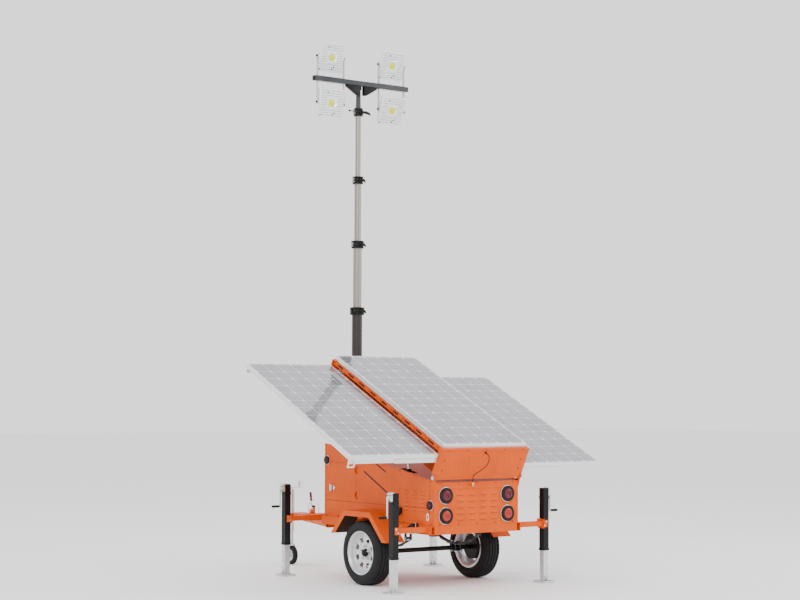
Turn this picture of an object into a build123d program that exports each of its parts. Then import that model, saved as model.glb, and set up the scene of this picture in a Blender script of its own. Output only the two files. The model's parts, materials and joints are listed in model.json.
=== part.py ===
from build123d import *
import math
import os

# Solar light tower trailer, in millimetres. X is to the right, Y runs forward to the tow coupling, Z is up.
# The design frame has its origin on the ground under the axle; the parts are moved at the end so that the
# origin is the middle of the whole trailer's footprint.

# ---- wheel and outrigger sizes that the frame follows
WHEEL_R = 307
ARM_SIZE = 50
SLEEVE_BORE = ARM_SIZE + 2
SLEEVE_SIZE = SLEEVE_BORE + 8

# ---- trailer body
BODY_HALF = 506
BODY_REAR = -842
BODY_FRONT = 955
SHEET = 4
RAIL_BOTTOM = WHEEL_R + 213
RAIL_TOP = RAIL_BOTTOM + 80
REAR_CROSS = 38
RAIL_STAND = 34
RAIL_OUT = BODY_HALF + RAIL_STAND
RAIL_WIDTH = 50
RAIL_WALL = 6
ROOF_REAR_Z = 1000
ROOF_SLOPE = 10
SIDES = (-1, 1)

# ---- wheels and axle
TYRE_WIDTH = 195
TYRE_WALL = 12
WHEEL_GAP = 15
RIM_R = 190
RIM_FLANGE_R = RIM_R + 16
RIM_WALL = 14
RIM_INSET = 16.5
RIM_LIP = 6
DISC_IN = 14
DISC_OUT = 24
DRUM_R = 110
DRUM_IN = -84
HUB_IN = -40
HUB_FRONT = 6
HUB_R = 60
AXLE_R = 22.5
RUNNING = 0.05
FIT_GAP = 0.3
WHEEL_X = RAIL_OUT + WHEEL_GAP + TYRE_WIDTH / 2
WINDOWS = 8
WINDOW_CIRCLE = 126
WINDOW_R = 26
NUTS = 5
NUT_CIRCLE = 62
NUT_R = 10
NUT_OUT = 40
CAP_R = 35
CAP_OUT = 50

# ---- fenders
FENDER_TOP = 2 * WHEEL_R + 86
FENDER_LIP = 50
FENDER_SHEET = 4
FENDER_OUT = WHEEL_X + TYRE_WIDTH / 2 + 10
FENDER_LINE = ((472, 473), (262, FENDER_TOP), (-174, FENDER_TOP), (-440, 430))
FENDER_FLANGE = ((404, 473), (239, FENDER_TOP - FENDER_LIP), (-152, FENDER_TOP - FENDER_LIP), (-369, 430))

# ---- leaf springs
SPRING_X = 420
LEAF_WIDTH = 50
LEAF_PITCH = 8
LEAF_HALF = 330
LEAF_CAMBER = 78
LEAF_LENGTHS = (LEAF_HALF, 230, 130)
LEAF_SEAT = 22
HANGER_GAP = 3
HANGER_THICK = 6
HANGER_HALF = 16
SPRING_EYE_R = 14
SPRING_EYE_RISE = 26
CLAMP_HALF = 42
CLAMP_DEEP = 38
CLAMP_THICK = 8
CLAMP_CLEAR = 1
U_BOLT_R = 5
U_BOLT_Y = 28

# ---- wheel chocks
CHOCK_FLOOR = RAIL_BOTTOM + 10
CHOCK_LINE = (
    (-520, CHOCK_FLOOR), (-650, CHOCK_FLOOR), (-650, CHOCK_FLOOR + 90), (-628, CHOCK_FLOOR + 90),
    (-520, CHOCK_FLOOR + 30),
)
CHOCK_WIDTH = 70

# ---- outriggers and jacks
REAR_SLEEVE_Y = BODY_REAR + REAR_CROSS + 4 + SLEEVE_SIZE / 2
FRONT_SLEEVE_Y = BODY_FRONT + 205
SLEEVE_Z = RAIL_TOP - SLEEVE_SIZE / 2
SLEEVE_STAND = 20
SLEEVE_HALF = RAIL_OUT + SLEEVE_STAND
ARM_WALL = 4
ARM_LENGTH = 600
ARM_FLANGE = 90
ARM_FLANGE_THICK = 8
JACK_SIZE = 65
JACK_BORE = 58
JACK_BOTTOM = 310
JACK_TOP = 908
JACK_CAP = 12
GEARBOX_DEEP = 28
GEARBOX_HALF = 27
GEARBOX_LOW = 30
GEARBOX_HIGH = 26
SHAFT_START = 7
LEG_SIZE = 57
LEG_WALL = 3
LEG_TOP = 560
FOOT_SIZE = 150
FOOT_THICK = 12
CRANK_Z = 872
CRANK_R = 9
CRANK_DROP = 190
CRANK_STAND = 38
CRANK_THICK = 10
CRANK_HALF = 11
GRIP_R = 12.5
GRIP_LENGTH = 90
REACH = {"rl": 354, "rr": 340, "fl": 273, "fr": 468}
JACKS = {
    "rl": (-SLEEVE_HALF - REACH["rl"], REAR_SLEEVE_Y),
    "rr": (SLEEVE_HALF + REACH["rr"], REAR_SLEEVE_Y),
    "fl": (-SLEEVE_HALF - REACH["fl"], FRONT_SLEEVE_Y),
    "fr": (SLEEVE_HALF + REACH["fr"], FRONT_SLEEVE_Y),
}

# ---- drawbar, coupling and jockey wheel
DRAWBAR_TOP = RAIL_TOP - SLEEVE_SIZE
DRAWBAR_BOTTOM = DRAWBAR_TOP - 60
LEG_START_X = RAIL_OUT - 70
LEG_END_X = 88
LEG_BAR = 63
MAST_PLATE_HALF = 80
MAST_PLATE_LAP = 40
HEAD_REAR = BODY_FRONT + 1145
HEAD_FRONT = HEAD_REAR + 200
HEAD_HALF = 90
COUPLER_NOSE = HEAD_FRONT + 148
COUPLER_R = 38
COUPLER_DROP = 34
COUPLER_RISE = 30
SHANK_HALF = 30
SHANK_RISE = 24
BALL_R = 25.5
BALL_DROP = 20
EYE_R = 10
EYE_THICK = 10
EYE_HALF = 20
EYE_FLOOR = 4
EYE_Y = HEAD_REAR + 150
JOCKEY_X = -125
JOCKEY_Y = HEAD_REAR + 50
JOCKEY_R = 30
JOCKEY_LEG_R = 24
JOCKEY_WHEEL_R = 100
JOCKEY_WHEEL_WIDTH = 55
JOCKEY_HUB_SHARE = 0.62
JOCKEY_AXLE_R = 10
JOCKEY_TOP = 800
JOCKEY_BOTTOM = 360
JOCKEY_CAP = 10
JOCKEY_LEG_TOP = 600
JOCKEY_SHAFT_R = 8
JOCKEY_CLAMP_HALF = 30
JOCKEY_CLAMP_OUT = 42
FORK_GAP = 4
FORK_THICK = 6
FORK_HALF = 20
FORK_CROWN = 15
FORK_BRIDGE = 8
JOCKEY_CRANK_RISE = 14
JOCKEY_CRANK_THICK = 8
JOCKEY_CRANK_REACH = 98
JOCKEY_GRIP_R = 11
JOCKEY_GRIP_LENGTH = 60
BRAKE_Y = HEAD_REAR - 160
BRAKE_Z = DRAWBAR_TOP + 35
BRAKE_TIP_Y = BRAKE_Y + 34
BRAKE_TIP_Z = BRAKE_Z + 197
BRAKE_PLATE_HALF = 60
BRAKE_PLATE = 6
BRAKE_LUG_IN = 10
BRAKE_LUG_OUT = 18
BRAKE_LUG_HALF = 25
BRAKE_PIN_R = 6
BRAKE_PIN_HALF = 22
LEVER_R = 8
LEVER_BOSS_R = 14
LEVER_BOSS_HALF = 9
LEVER_GRIP_FROM = 0.55

# ---- mast: outer radius, wall, bottom and top of each tube
MAST_Y = BODY_FRONT + 172.5
MAST_FOOT = RAIL_TOP + 12
MAST_TUBES = (
    (53.5, 3.5, MAST_FOOT, 2640), (44, 3.5, 1250, 3330), (34.5, 3.5, 1900, 4000), (28, 3.5, 2550, 4710),
)
COLLAR_HEIGHT = 70
COLLAR_R = (68, 58, 48, 42)
GUIDE_HEIGHT = 40
COLLAR_EAR = 14
COLLAR_EAR_HALF = 12
COLLAR_EAR_INSET = 10
MAST_CLAMP_LOW = 1190
MAST_CLAMP_HIGH = 1230
MAST_CLAMP_HALF = 78
MAST_CLAMP_WALL = 8
MAST_STAY_HALF = 60
POST_R = 25
BAR_Z = 5040
BAR_SIZE = 50
BAR_HALF = 590
BAR_WALL = 3
HEAD_RING_R = 40
HEAD_RING_LOW = 1
HEAD_RING_HIGH = 15
POST_CLEAR = 2
SEAT_DROP = 60
GUSSET_OUT = 190
GUSSET_DROP = 95
GUSSET_THICK = 6
GUSSET_SET_BACK = 12
LAMP_X = 385
LAMP_UP_Z = 5273
LAMP_LOW_Z = 4798
LAMP_SIZE = 300
LAMP_DEPTH = 70
LAMP_AIM = {"ul": 16, "ur": 20, "ll": 8, "lr": 20}
LAMP_FACE = 12
LAMP_CASE = 28
REFLECTOR_R = 55
FINS = 12
FIN_THICK = 4
YOKE_HALF = 165
YOKE_WIDTH = 30
YOKE_THICK = 6
YOKE_PAST = 20
TRUNNION_R = 8
BAR_Y = MAST_Y - POST_R - BAR_SIZE / 2

# ---- solar array, in the tray's own frame: x across, u up the slope, w square to the modules
TILT = 25.6
HINGE_Y = BODY_REAR - 8
HINGE_Z = 1045
PIN_R = 8
LUG_R = 24
LUG_THICK = 8
EAR_GAP = 2
EAR_THICK = 8
PANEL_WIDTH = 992
PANEL_LENGTH = 1956
PANEL_HEIGHT = 40
PANEL_EDGE = 12
PANEL_FLANGE = 35
PANEL_U = 19.4
GLASS = 6
SLIDE_OUT = 1025
LEVELS = {"centre": 296.7, "left": 196.7, "right": 79.7}
TRAY_HALF = BODY_HALF - 6
TRAY_WIDE = BODY_HALF + LUG_THICK + EAR_GAP + EAR_THICK
TRAY_SHEET = 3
REAR_WALL_U = -12
FRONT_CLEAR = 1
WALL_FOOT = -15
TOP_FLANGE = 45
BEAM_GAP = 10
FLANGE_THICK = 4
PAN_W = 28
BEAM_WIDTH = 22
RAIL_DROP = 4.7
RAIL_HEIGHT = 40
MEMBER = 10
MEMBER_GAP = 0.5
MEMBER_LENGTH = 980
MEMBER_START = 20
FIXED_RAIL_LAP = 0.6
CROSS_RAIL = (860, 920)
HANDLE_WIDTH = 75
HANDLE_DROP = 75
HANDLE_THICK = 5
HANDLE_BAR = 12
HANDLE_LAP = 15
FRONT_WALL_U = PANEL_U + PANEL_LENGTH + FRONT_CLEAR

# ---- tray struts
STRUT_X = 400
STRUT_REACH = 620
STRUT_DIP = 35
STRUT_R = 25
ROD_R = 14
STRUT_PIN_R = 8
CYLINDER_LENGTH = 420
ROD_START = 175
SLOT_DROP = 12
NECK_DROP = 42
NECK_R = 10
SLOT_CUTS = 4
EYE_HALF_WIDTH = 10
EYE_BORE = 7
BRACKET_GAP = 3
BRACKET_WALL = 8
BRACKET_HALF = 20
BRACKET_FOOT = 30
CLEVIS_GAP = 12
CLEVIS_WALL = 6
CLEVIS_HALF = 16
CLEVIS_DROP = 14
CLEVIS_PIN_R = 6
SLOT_BEHIND = 78
SLOT_AHEAD = 132
SLOT_SIDE = 10

# ---- cabinet fittings
DOOR_REAR = 418
DOOR_FRONT = BODY_FRONT - 89
DOOR_BOTTOM = 760
DOOR_TOP = 1142
DOOR_GAP = 2
DOOR_HINGE_X = -BODY_HALF - 8
DOOR_HINGE_INSET = 70
KNUCKLE_R = 6
KNUCKLE_HALF = 20
HINGE_PIN_R = 3
HINGE_EAR_IN = 22
HINGE_EAR_OUT = 34
LATCH_SHAFT_R = 5
LATCH_Y = DOOR_FRONT - 36
LATCH_Z = 885
REAR_LAMP_X = 372
REAR_LAMP_R = 75
RED_Z = 879
AMBER_Z = 692
LAMP_RING = 15
LAMP_STAND = 18
MARKERS = ((BODY_REAR + 56, 790), (BODY_FRONT - 44, 1157))
MARKER_R = 42
MARKER_STAND = 14
MARKER_RING = 8
LAMP_FLOOR = 4
LENS_INSET = 2

# ---- batteries and charge controller
BATTERIES = 4
BATTERY_WIDTH = 240
BATTERY_PITCH = 246
BATTERY_TALL = 219
BATTERY_Y = (-100, 422)
CONTROLLER_HALF = 200
CONTROLLER_DEEP = 90
CONTROLLER_Z = (820, 1120)

# ---- tray cable
CABLE_R = 4
CABLE_W = 262
GROMMET_R = 8
GROMMET_LENGTH = 14
CABLE_ROUTE = (
    (-2, -1017.3, 1255.4),
    (-4, -1033, 1226),
    (-10, -1033, 1192),
    (-22, -1019, 1160),
    (-38, -994, 1132),
    (-54, -963, 1108),
    (-67, -930, 1088),
    (-76, -901, 1068),
    (-79, -886, 1048),
    (-80, -882, 1022),
    (-80, -882, 996),
)
GLAND_R = 9
GLAND_LENGTH = 35


def block(x0, x1, y0, y1, z0, z1):
    """A box given by its two limits along each axis."""
    size = Box(abs(x1 - x0), abs(y1 - y0), abs(z1 - z0))
    return Pos((x0 + x1) / 2, (y0 + y1) / 2, (z0 + z1) / 2) * size


def rod(start, end, radius):
    """A round bar from one point to another."""
    direction = Vector(*end) - Vector(*start)
    plane = Plane(origin=start, z_dir=direction)
    return plane * Cylinder(radius, direction.length, align=(Align.CENTER, Align.CENTER, Align.MIN))


def tube(start, end, outer, inner):
    """A round tube from one point to another."""
    return rod(start, end, outer) - rod(start, end, inner)


def plate_yz(points, x0, x1):
    """A flat plate with its outline in the YZ plane, between two X values."""
    face = make_face(Polyline(*[(0, y, z) for y, z in points], close=True))
    return Pos(min(x0, x1), 0, 0) * extrude(face, amount=abs(x1 - x0), dir=(1, 0, 0))


def plate_xy(points, z0, z1):
    """A flat plate with its outline in the XY plane, between two heights."""
    face = make_face(Polyline(*[(x, y, 0) for x, y in points], close=True))
    return Pos(0, 0, z0) * extrude(face, amount=z1 - z0, dir=(0, 0, 1))


def square_tube_x(x0, x1, y, z, size, bore):
    """A square tube along X."""
    outer = block(x0, x1, y - size / 2, y + size / 2, z - size / 2, z + size / 2)
    return outer - block(x0, x1, y - bore / 2, y + bore / 2, z - bore / 2, z + bore / 2)


def roof_z(y):
    """Height of the underside of the cabinet's sloping roof."""
    return ROOF_REAR_Z - SHEET + (y - BODY_REAR) * math.tan(math.radians(ROOF_SLOPE))


# ------------------------------------------------------------------ running gear
def chassis_frame():
    """Two side rails, four cross members and the two sleeves that the outriggers slide in."""
    solids = []
    sleeve = SLEEVE_SIZE / 2
    for side in SIDES:
        inner = RAIL_OUT - RAIL_WIDTH
        rail = block(side * inner, side * RAIL_OUT, BODY_REAR, BODY_FRONT, RAIL_BOTTOM, RAIL_TOP)
        core = block(
            side * (inner + RAIL_WALL), side * (RAIL_OUT - RAIL_WALL), BODY_REAR, BODY_FRONT,
            RAIL_BOTTOM + RAIL_WALL, RAIL_TOP - RAIL_WALL,
        )
        notch = block(
            side * (inner - 1), side * (RAIL_OUT + 1), REAR_SLEEVE_Y - sleeve, REAR_SLEEVE_Y + sleeve,
            SLEEVE_Z - sleeve, RAIL_TOP + 1,
        )
        solids += (rail - core - notch).solids()
    cross_half = RAIL_OUT - RAIL_WIDTH
    for y0, y1, z0 in (
        (BODY_REAR, BODY_REAR + REAR_CROSS, RAIL_BOTTOM),
        (-LEAF_HALF - 30, -LEAF_HALF + 20, RAIL_BOTTOM),
        (LEAF_HALF - 20, LEAF_HALF + 30, RAIL_BOTTOM),
        (BODY_FRONT - 50, BODY_FRONT, DRAWBAR_BOTTOM),
    ):
        bar = block(-cross_half, cross_half, y0, y1, z0, RAIL_TOP)
        bore = block(
            -cross_half, cross_half, y0 + RAIL_WALL, y1 - RAIL_WALL, z0 + RAIL_WALL, RAIL_TOP - RAIL_WALL
        )
        solids.append(bar - bore)
    for y in (REAR_SLEEVE_Y, FRONT_SLEEVE_Y):
        solids.append(square_tube_x(-SLEEVE_HALF, SLEEVE_HALF, y, SLEEVE_Z, SLEEVE_SIZE, SLEEVE_BORE))
    return solids


def drawbar():
    """The drawbar's legs and head, the mast's foot plate, the brake's plate and lugs, the chain eyes."""
    slope = (LEG_START_X - LEG_END_X) / (HEAD_REAR - BODY_FRONT)
    solids = []
    for side in SIDES:
        points = [
            (side * LEG_START_X, BODY_FRONT),
            (side * LEG_END_X, HEAD_REAR),
            (side * (LEG_END_X - LEG_BAR), HEAD_REAR),
            (side * (LEG_START_X - LEG_BAR), BODY_FRONT),
        ]
        solids.append(plate_xy(points, DRAWBAR_BOTTOM, DRAWBAR_TOP))
    solids.append(block(-HEAD_HALF, HEAD_HALF, HEAD_REAR, HEAD_FRONT, DRAWBAR_BOTTOM, DRAWBAR_TOP))
    solids.append(block(
        -MAST_PLATE_HALF, MAST_PLATE_HALF, BODY_FRONT, FRONT_SLEEVE_Y + MAST_PLATE_LAP, RAIL_TOP, MAST_FOOT
    ))
    plate_rear = BRAKE_Y - BRAKE_PLATE_HALF
    plate_top = DRAWBAR_TOP + BRAKE_PLATE
    plate_half = LEG_START_X - slope * (plate_rear - BODY_FRONT)
    solids.append(block(
        -plate_half, plate_half, plate_rear, BRAKE_Y + BRAKE_PLATE_HALF, DRAWBAR_TOP, plate_top
    ))
    middle = (DRAWBAR_BOTTOM + DRAWBAR_TOP) / 2
    for side in SIDES:
        lug = block(
            side * BRAKE_LUG_IN, side * BRAKE_LUG_OUT, BRAKE_Y - BRAKE_LUG_HALF, BRAKE_Y + BRAKE_LUG_HALF,
            plate_top, BRAKE_Z + BRAKE_LUG_OUT,
        )
        bore = rod(
            (side * (BRAKE_LUG_IN - 1), BRAKE_Y, BRAKE_Z), (side * (BRAKE_LUG_OUT + 1), BRAKE_Y, BRAKE_Z),
            BRAKE_PIN_R + RUNNING,
        )
        solids.append(lug - bore)
        plate = block(
            side * HEAD_HALF, side * (HEAD_HALF + EYE_THICK), EYE_Y - EYE_HALF, EYE_Y + EYE_HALF,
            DRAWBAR_BOTTOM, DRAWBAR_TOP,
        )
        eye_start = (side * (HEAD_HALF + EYE_FLOOR), EYE_Y, middle)
        eye_end = (side * (HEAD_HALF + 2 * EYE_THICK), EYE_Y, middle)
        solids.append(plate - rod(eye_start, eye_end, EYE_R))
    return solids


def coupler():
    """A ball coupler: a shank and a round head with the ball's socket open below."""
    middle = (DRAWBAR_BOTTOM + DRAWBAR_TOP) / 2
    head_y = COUPLER_NOSE - COUPLER_R
    bottom = middle - COUPLER_DROP
    ball_z = middle - BALL_DROP
    shank = block(-SHANK_HALF, SHANK_HALF, HEAD_FRONT, head_y, middle - SHANK_RISE, middle + SHANK_RISE)
    head = rod((0, head_y, bottom), (0, head_y, middle + COUPLER_RISE), COUPLER_R)
    socket = Pos(0, head_y, ball_z) * Sphere(BALL_R)
    throat = rod((0, head_y, bottom - 1), (0, head_y, ball_z), BALL_R)
    return [shank + head - socket - throat]


def handbrake_lever():
    pivot = (0, BRAKE_Y, BRAKE_Z)
    tip = (0, BRAKE_TIP_Y, BRAKE_TIP_Z)
    lever = rod(pivot, tip, LEVER_R)
    boss = rod((-LEVER_BOSS_HALF, BRAKE_Y, BRAKE_Z), (LEVER_BOSS_HALF, BRAKE_Y, BRAKE_Z), LEVER_BOSS_R)
    pin = rod((-BRAKE_PIN_HALF, BRAKE_Y, BRAKE_Z), (BRAKE_PIN_HALF, BRAKE_Y, BRAKE_Z), BRAKE_PIN_R)
    grip_from = Vector(*pivot) + (Vector(*tip) - Vector(*pivot)) * LEVER_GRIP_FROM
    grip = rod(tuple(grip_from), tip, LEVER_BOSS_R)
    return [lever + boss + pin + grip]


def on_jockey(z, dx=0):
    """A point on the jockey column's axis, or beside it."""
    return JOCKEY_X + dx, JOCKEY_Y, z


def jockey_tube():
    cap_low = JOCKEY_TOP - JOCKEY_CAP
    outer = tube(on_jockey(JOCKEY_BOTTOM), on_jockey(cap_low), JOCKEY_R, JOCKEY_LEG_R + RUNNING)
    cap = tube(on_jockey(cap_low), on_jockey(JOCKEY_TOP), JOCKEY_R, JOCKEY_SHAFT_R + RUNNING)
    clamp = block(
        JOCKEY_X - JOCKEY_CLAMP_OUT, -HEAD_HALF, JOCKEY_Y - JOCKEY_CLAMP_HALF, JOCKEY_Y + JOCKEY_CLAMP_HALF,
        DRAWBAR_BOTTOM + 5, DRAWBAR_TOP - 5,
    )
    hole = rod(on_jockey(DRAWBAR_BOTTOM), on_jockey(DRAWBAR_TOP), JOCKEY_R + FIT_GAP)
    return [outer + cap, clamp - hole]


def jockey_leg():
    fork_in = JOCKEY_WHEEL_WIDTH / 2 + FORK_GAP
    fork_out = fork_in + FORK_THICK
    top = JOCKEY_WHEEL_R * 2 + FORK_CROWN
    fork = rod(on_jockey(top), on_jockey(JOCKEY_LEG_TOP), JOCKEY_LEG_R)
    fork += block(
        JOCKEY_X - fork_out, JOCKEY_X + fork_out, JOCKEY_Y - JOCKEY_LEG_R, JOCKEY_Y + JOCKEY_LEG_R,
        top - FORK_BRIDGE, top,
    )
    for side in SIDES:
        fork += block(
            JOCKEY_X + side * fork_in, JOCKEY_X + side * fork_out, JOCKEY_Y - FORK_HALF, JOCKEY_Y + FORK_HALF,
            JOCKEY_WHEEL_R - FORK_HALF, top - FORK_BRIDGE,
        )
    axle_half = fork_out + 2
    fork += rod(on_jockey(JOCKEY_WHEEL_R, -axle_half), on_jockey(JOCKEY_WHEEL_R, axle_half), JOCKEY_AXLE_R)
    return [fork]


def jockey_wheel():
    half = JOCKEY_WHEEL_WIDTH / 2
    start = on_jockey(JOCKEY_WHEEL_R, -half)
    end = on_jockey(JOCKEY_WHEEL_R, half)
    hub_r = JOCKEY_WHEEL_R * JOCKEY_HUB_SHARE
    tread = tube(start, end, JOCKEY_WHEEL_R, hub_r)
    hub = tube(start, end, hub_r - FIT_GAP, JOCKEY_AXLE_R + RUNNING)
    return [tread, hub]


def jockey_crank():
    low = JOCKEY_TOP + JOCKEY_CRANK_RISE
    high = low + JOCKEY_CRANK_THICK
    shaft = rod(on_jockey(JOCKEY_TOP - JOCKEY_R), on_jockey(low), JOCKEY_SHAFT_R)
    arm = block(
        JOCKEY_X - 12, JOCKEY_X + JOCKEY_CRANK_REACH + 12, JOCKEY_Y - 10, JOCKEY_Y + 10, low, high
    )
    grip_low = on_jockey(high, JOCKEY_CRANK_REACH)
    grip_high = on_jockey(high + JOCKEY_GRIP_LENGTH, JOCKEY_CRANK_REACH)
    grip = rod(grip_low, grip_high, JOCKEY_GRIP_R)
    return [shaft + arm + grip]


def axle_beam():
    half = WHEEL_X - 2
    return [rod((-half, 0, WHEEL_R), (half, 0, WHEEL_R), AXLE_R)]


def leaf(x, level, half):
    """One spring leaf: a strip between two equal arcs, one pitch apart."""
    radius = (LEAF_HALF**2 + LEAF_CAMBER**2) / (2 * LEAF_CAMBER)
    middle = WHEEL_R + AXLE_R + LEAF_SEAT - level * LEAF_PITCH
    thick = LEAF_PITCH - FIT_GAP
    rise = radius - math.sqrt(radius**2 - half**2)
    lower = ThreePointArc((0, -half, middle + rise), (0, 0, middle), (0, half, middle + rise))
    upper = Pos(0, 0, thick) * lower
    ends = [Line(lower @ 0, upper @ 0), Line(lower @ 1, upper @ 1)]
    face = make_face([lower, upper, *ends])
    return Pos(x - LEAF_WIDTH / 2, 0, 0) * extrude(face, amount=LEAF_WIDTH, dir=(1, 0, 0))


def spring_hanger(x, y):
    """Two plates under the side rail with the pin that one end of a spring hangs on."""
    eye_z = WHEEL_R + AXLE_R + LEAF_SEAT + LEAF_CAMBER + SPRING_EYE_RISE
    inner = LEAF_WIDTH / 2 + HANGER_GAP
    outer = inner + HANGER_THICK
    hanger = rod((x - outer, y, eye_z), (x + outer, y, eye_z), SPRING_EYE_R)
    for face in SIDES:
        hanger += block(
            x + face * inner, x + face * outer, y - HANGER_HALF, y + HANGER_HALF, eye_z - 20, RAIL_BOTTOM
        )
    return hanger


def spring_clamp(x):
    """A plate above the leaves and one under the axle, with the four studs that pull them together."""
    top_plate = WHEEL_R + AXLE_R + LEAF_SEAT + LEAF_PITCH + CLAMP_CLEAR
    low_plate = WHEEL_R - AXLE_R - CLAMP_CLEAR - CLAMP_THICK
    stud = LEAF_WIDTH / 2 + U_BOLT_R + 1
    bottom = low_plate - U_BOLT_R
    top = top_plate + CLAMP_THICK + 2 * U_BOLT_R
    clamp = block(
        x - CLAMP_HALF, x + CLAMP_HALF, -CLAMP_DEEP, CLAMP_DEEP, top_plate, top_plate + CLAMP_THICK
    )
    clamp += block(
        x - CLAMP_HALF, x + CLAMP_HALF, -CLAMP_DEEP, CLAMP_DEEP, low_plate, low_plate + CLAMP_THICK
    )
    for stud_x in (x - stud, x + stud):
        for stud_y in (-U_BOLT_Y, U_BOLT_Y):
            clamp += rod((stud_x, stud_y, bottom), (stud_x, stud_y, top), U_BOLT_R)
    return clamp


def leaf_springs():
    solids = []
    for side in SIDES:
        x = side * SPRING_X
        solids += [leaf(x, level, half) for level, half in enumerate(LEAF_LENGTHS)]
        solids += [spring_hanger(x, end * LEAF_HALF) for end in SIDES]
        solids.append(spring_clamp(x))
    return solids


def tyre(side):
    half = TYRE_WIDTH / 2
    depth = WHEEL_R - RIM_FLANGE_R
    outline = [
        (0, WHEEL_R), (half - 37, WHEEL_R), (half - 12, WHEEL_R - 0.15 * depth),
        (half, WHEEL_R - 0.56 * depth),
        (half - 5, RIM_FLANGE_R + 0.09 * depth), (half - 17, RIM_FLANGE_R + 1), (half - 17, RIM_R + FIT_GAP),
        (half - 29, RIM_R + FIT_GAP), (half - 29, RIM_R + 20), (half - TYRE_WALL, WHEEL_R - 0.61 * depth),
        (half - 22, WHEEL_R - 0.25 * depth), (half - 47, WHEEL_R - TYRE_WALL), (0, WHEEL_R - TYRE_WALL),
    ]
    mirrored = [(-x, r) for x, r in reversed(outline[1:-1])]
    face = make_face(Polyline(*[(x, r, 0) for x, r in outline + mirrored], close=True))
    ring = revolve(face, Axis.X)
    return [Pos(side * WHEEL_X, 0, WHEEL_R) * ring]


def on_circle(count, radius, start):
    """Evenly spaced points (y, z) on a circle round the axle."""
    angles = [math.radians(start + 360 / count * index) for index in range(count)]
    return [(radius * math.cos(angle), radius * math.sin(angle)) for angle in angles]


def rim(side):
    """Barrel and dished disc with its windows, then hub and drum, cap and wheel nuts."""
    half = TYRE_WIDTH / 2 - RIM_INSET

    def at(out, y=0, z=0):
        return side * (WHEEL_X + out), y, WHEEL_R + z

    barrel = tube(at(-half), at(half), RIM_R, RIM_R - RIM_WALL)
    for inner, outer in ((-half, -half - RIM_LIP), (half, half + RIM_LIP)):
        barrel += tube(at(inner), at(outer), RIM_FLANGE_R, RIM_R - RIM_WALL)
    disc = rod(at(DISC_IN), at(DISC_OUT), RIM_R - RIM_WALL + 1)
    for y, z in on_circle(WINDOWS, WINDOW_CIRCLE, 0):
        disc -= rod(at(DISC_IN - 1, y, z), at(DISC_OUT + 1, y, z), WINDOW_R)
    hub = tube(at(DRUM_IN), at(HUB_IN), DRUM_R, AXLE_R + RUNNING)
    hub += tube(at(HUB_IN), at(HUB_FRONT), HUB_R, AXLE_R + RUNNING)
    hub += rod(at(HUB_FRONT), at(DISC_IN), HUB_R)
    cap = rod(at(DISC_OUT), at(CAP_OUT), CAP_R)
    nuts = [
        rod(at(DISC_OUT, y, z), at(NUT_OUT, y, z), NUT_R) for y, z in on_circle(NUTS, NUT_CIRCLE, 90)
    ]
    return [barrel + disc, hub, cap, *nuts]


def fenders():
    solids = []
    under = FENDER_TOP - FENDER_SHEET
    skin = ((467, 473), (260, under), (-172, under), (-434, 430))
    for side in SIDES:
        strip = plate_yz(list(FENDER_LINE) + list(reversed(skin)), side * RAIL_OUT, side * FENDER_OUT)
        flange = plate_yz(
            list(FENDER_LINE) + list(reversed(FENDER_FLANGE)), side * (FENDER_OUT - FENDER_SHEET),
            side * FENDER_OUT,
        )
        shelf = block(side * BODY_HALF, side * RAIL_OUT, -170, 258, under, FENDER_TOP)
        solids.append(strip + flange + shelf)
    return solids


def wheel_chocks():
    solids = []
    for side in SIDES:
        solids.append(plate_yz(CHOCK_LINE, side * (RAIL_OUT + FIT_GAP), side * (RAIL_OUT + CHOCK_WIDTH)))
    return solids


# ------------------------------------------------------------------ outriggers
def outrigger_arm(name):
    x, y = JACKS[name]
    side = math.copysign(1, x)
    outer = x - side * JACK_SIZE / 2
    inner = outer - side * ARM_LENGTH
    bar = square_tube_x(min(outer, inner), max(outer, inner), y, SLEEVE_Z, ARM_SIZE, ARM_SIZE - 2 * ARM_WALL)
    ring_end = outer - side * ARM_FLANGE_THICK
    ring = square_tube_x(
        min(outer, ring_end), max(outer, ring_end), y, SLEEVE_Z, ARM_FLANGE, ARM_SIZE - 2 * ARM_WALL
    )
    return [bar + ring]


def jack_tube(name):
    x, y = JACKS[name]
    side = math.copysign(1, x)
    half = JACK_SIZE / 2
    bore = JACK_BORE / 2
    body = block(x - half, x + half, y - half, y + half, JACK_BOTTOM, JACK_TOP)
    body -= block(x - bore, x + bore, y - bore, y + bore, JACK_BOTTOM, JACK_TOP - JACK_CAP)
    gearbox = block(
        x + side * half, x + side * (half + GEARBOX_DEEP), y - GEARBOX_HALF, y + GEARBOX_HALF,
        CRANK_Z - GEARBOX_LOW, CRANK_Z + GEARBOX_HIGH,
    )
    hole_start = (x + side * (half + SHAFT_START - 1), y, CRANK_Z)
    hole_end = (x + side * (half + GEARBOX_DEEP + 1), y, CRANK_Z)
    shaft_hole = rod(hole_start, hole_end, CRANK_R + RUNNING)
    return [body, gearbox - shaft_hole]


def jack_leg(name):
    x, y = JACKS[name]
    half = LEG_SIZE / 2
    bore = half - LEG_WALL
    leg = block(x - half, x + half, y - half, y + half, FOOT_THICK, LEG_TOP)
    leg -= block(x - bore, x + bore, y - bore, y + bore, FOOT_THICK, LEG_TOP)
    foot = block(x - FOOT_SIZE / 2, x + FOOT_SIZE / 2, y - FOOT_SIZE / 2, y + FOOT_SIZE / 2, 0, FOOT_THICK)
    return [leg, foot]


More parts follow.
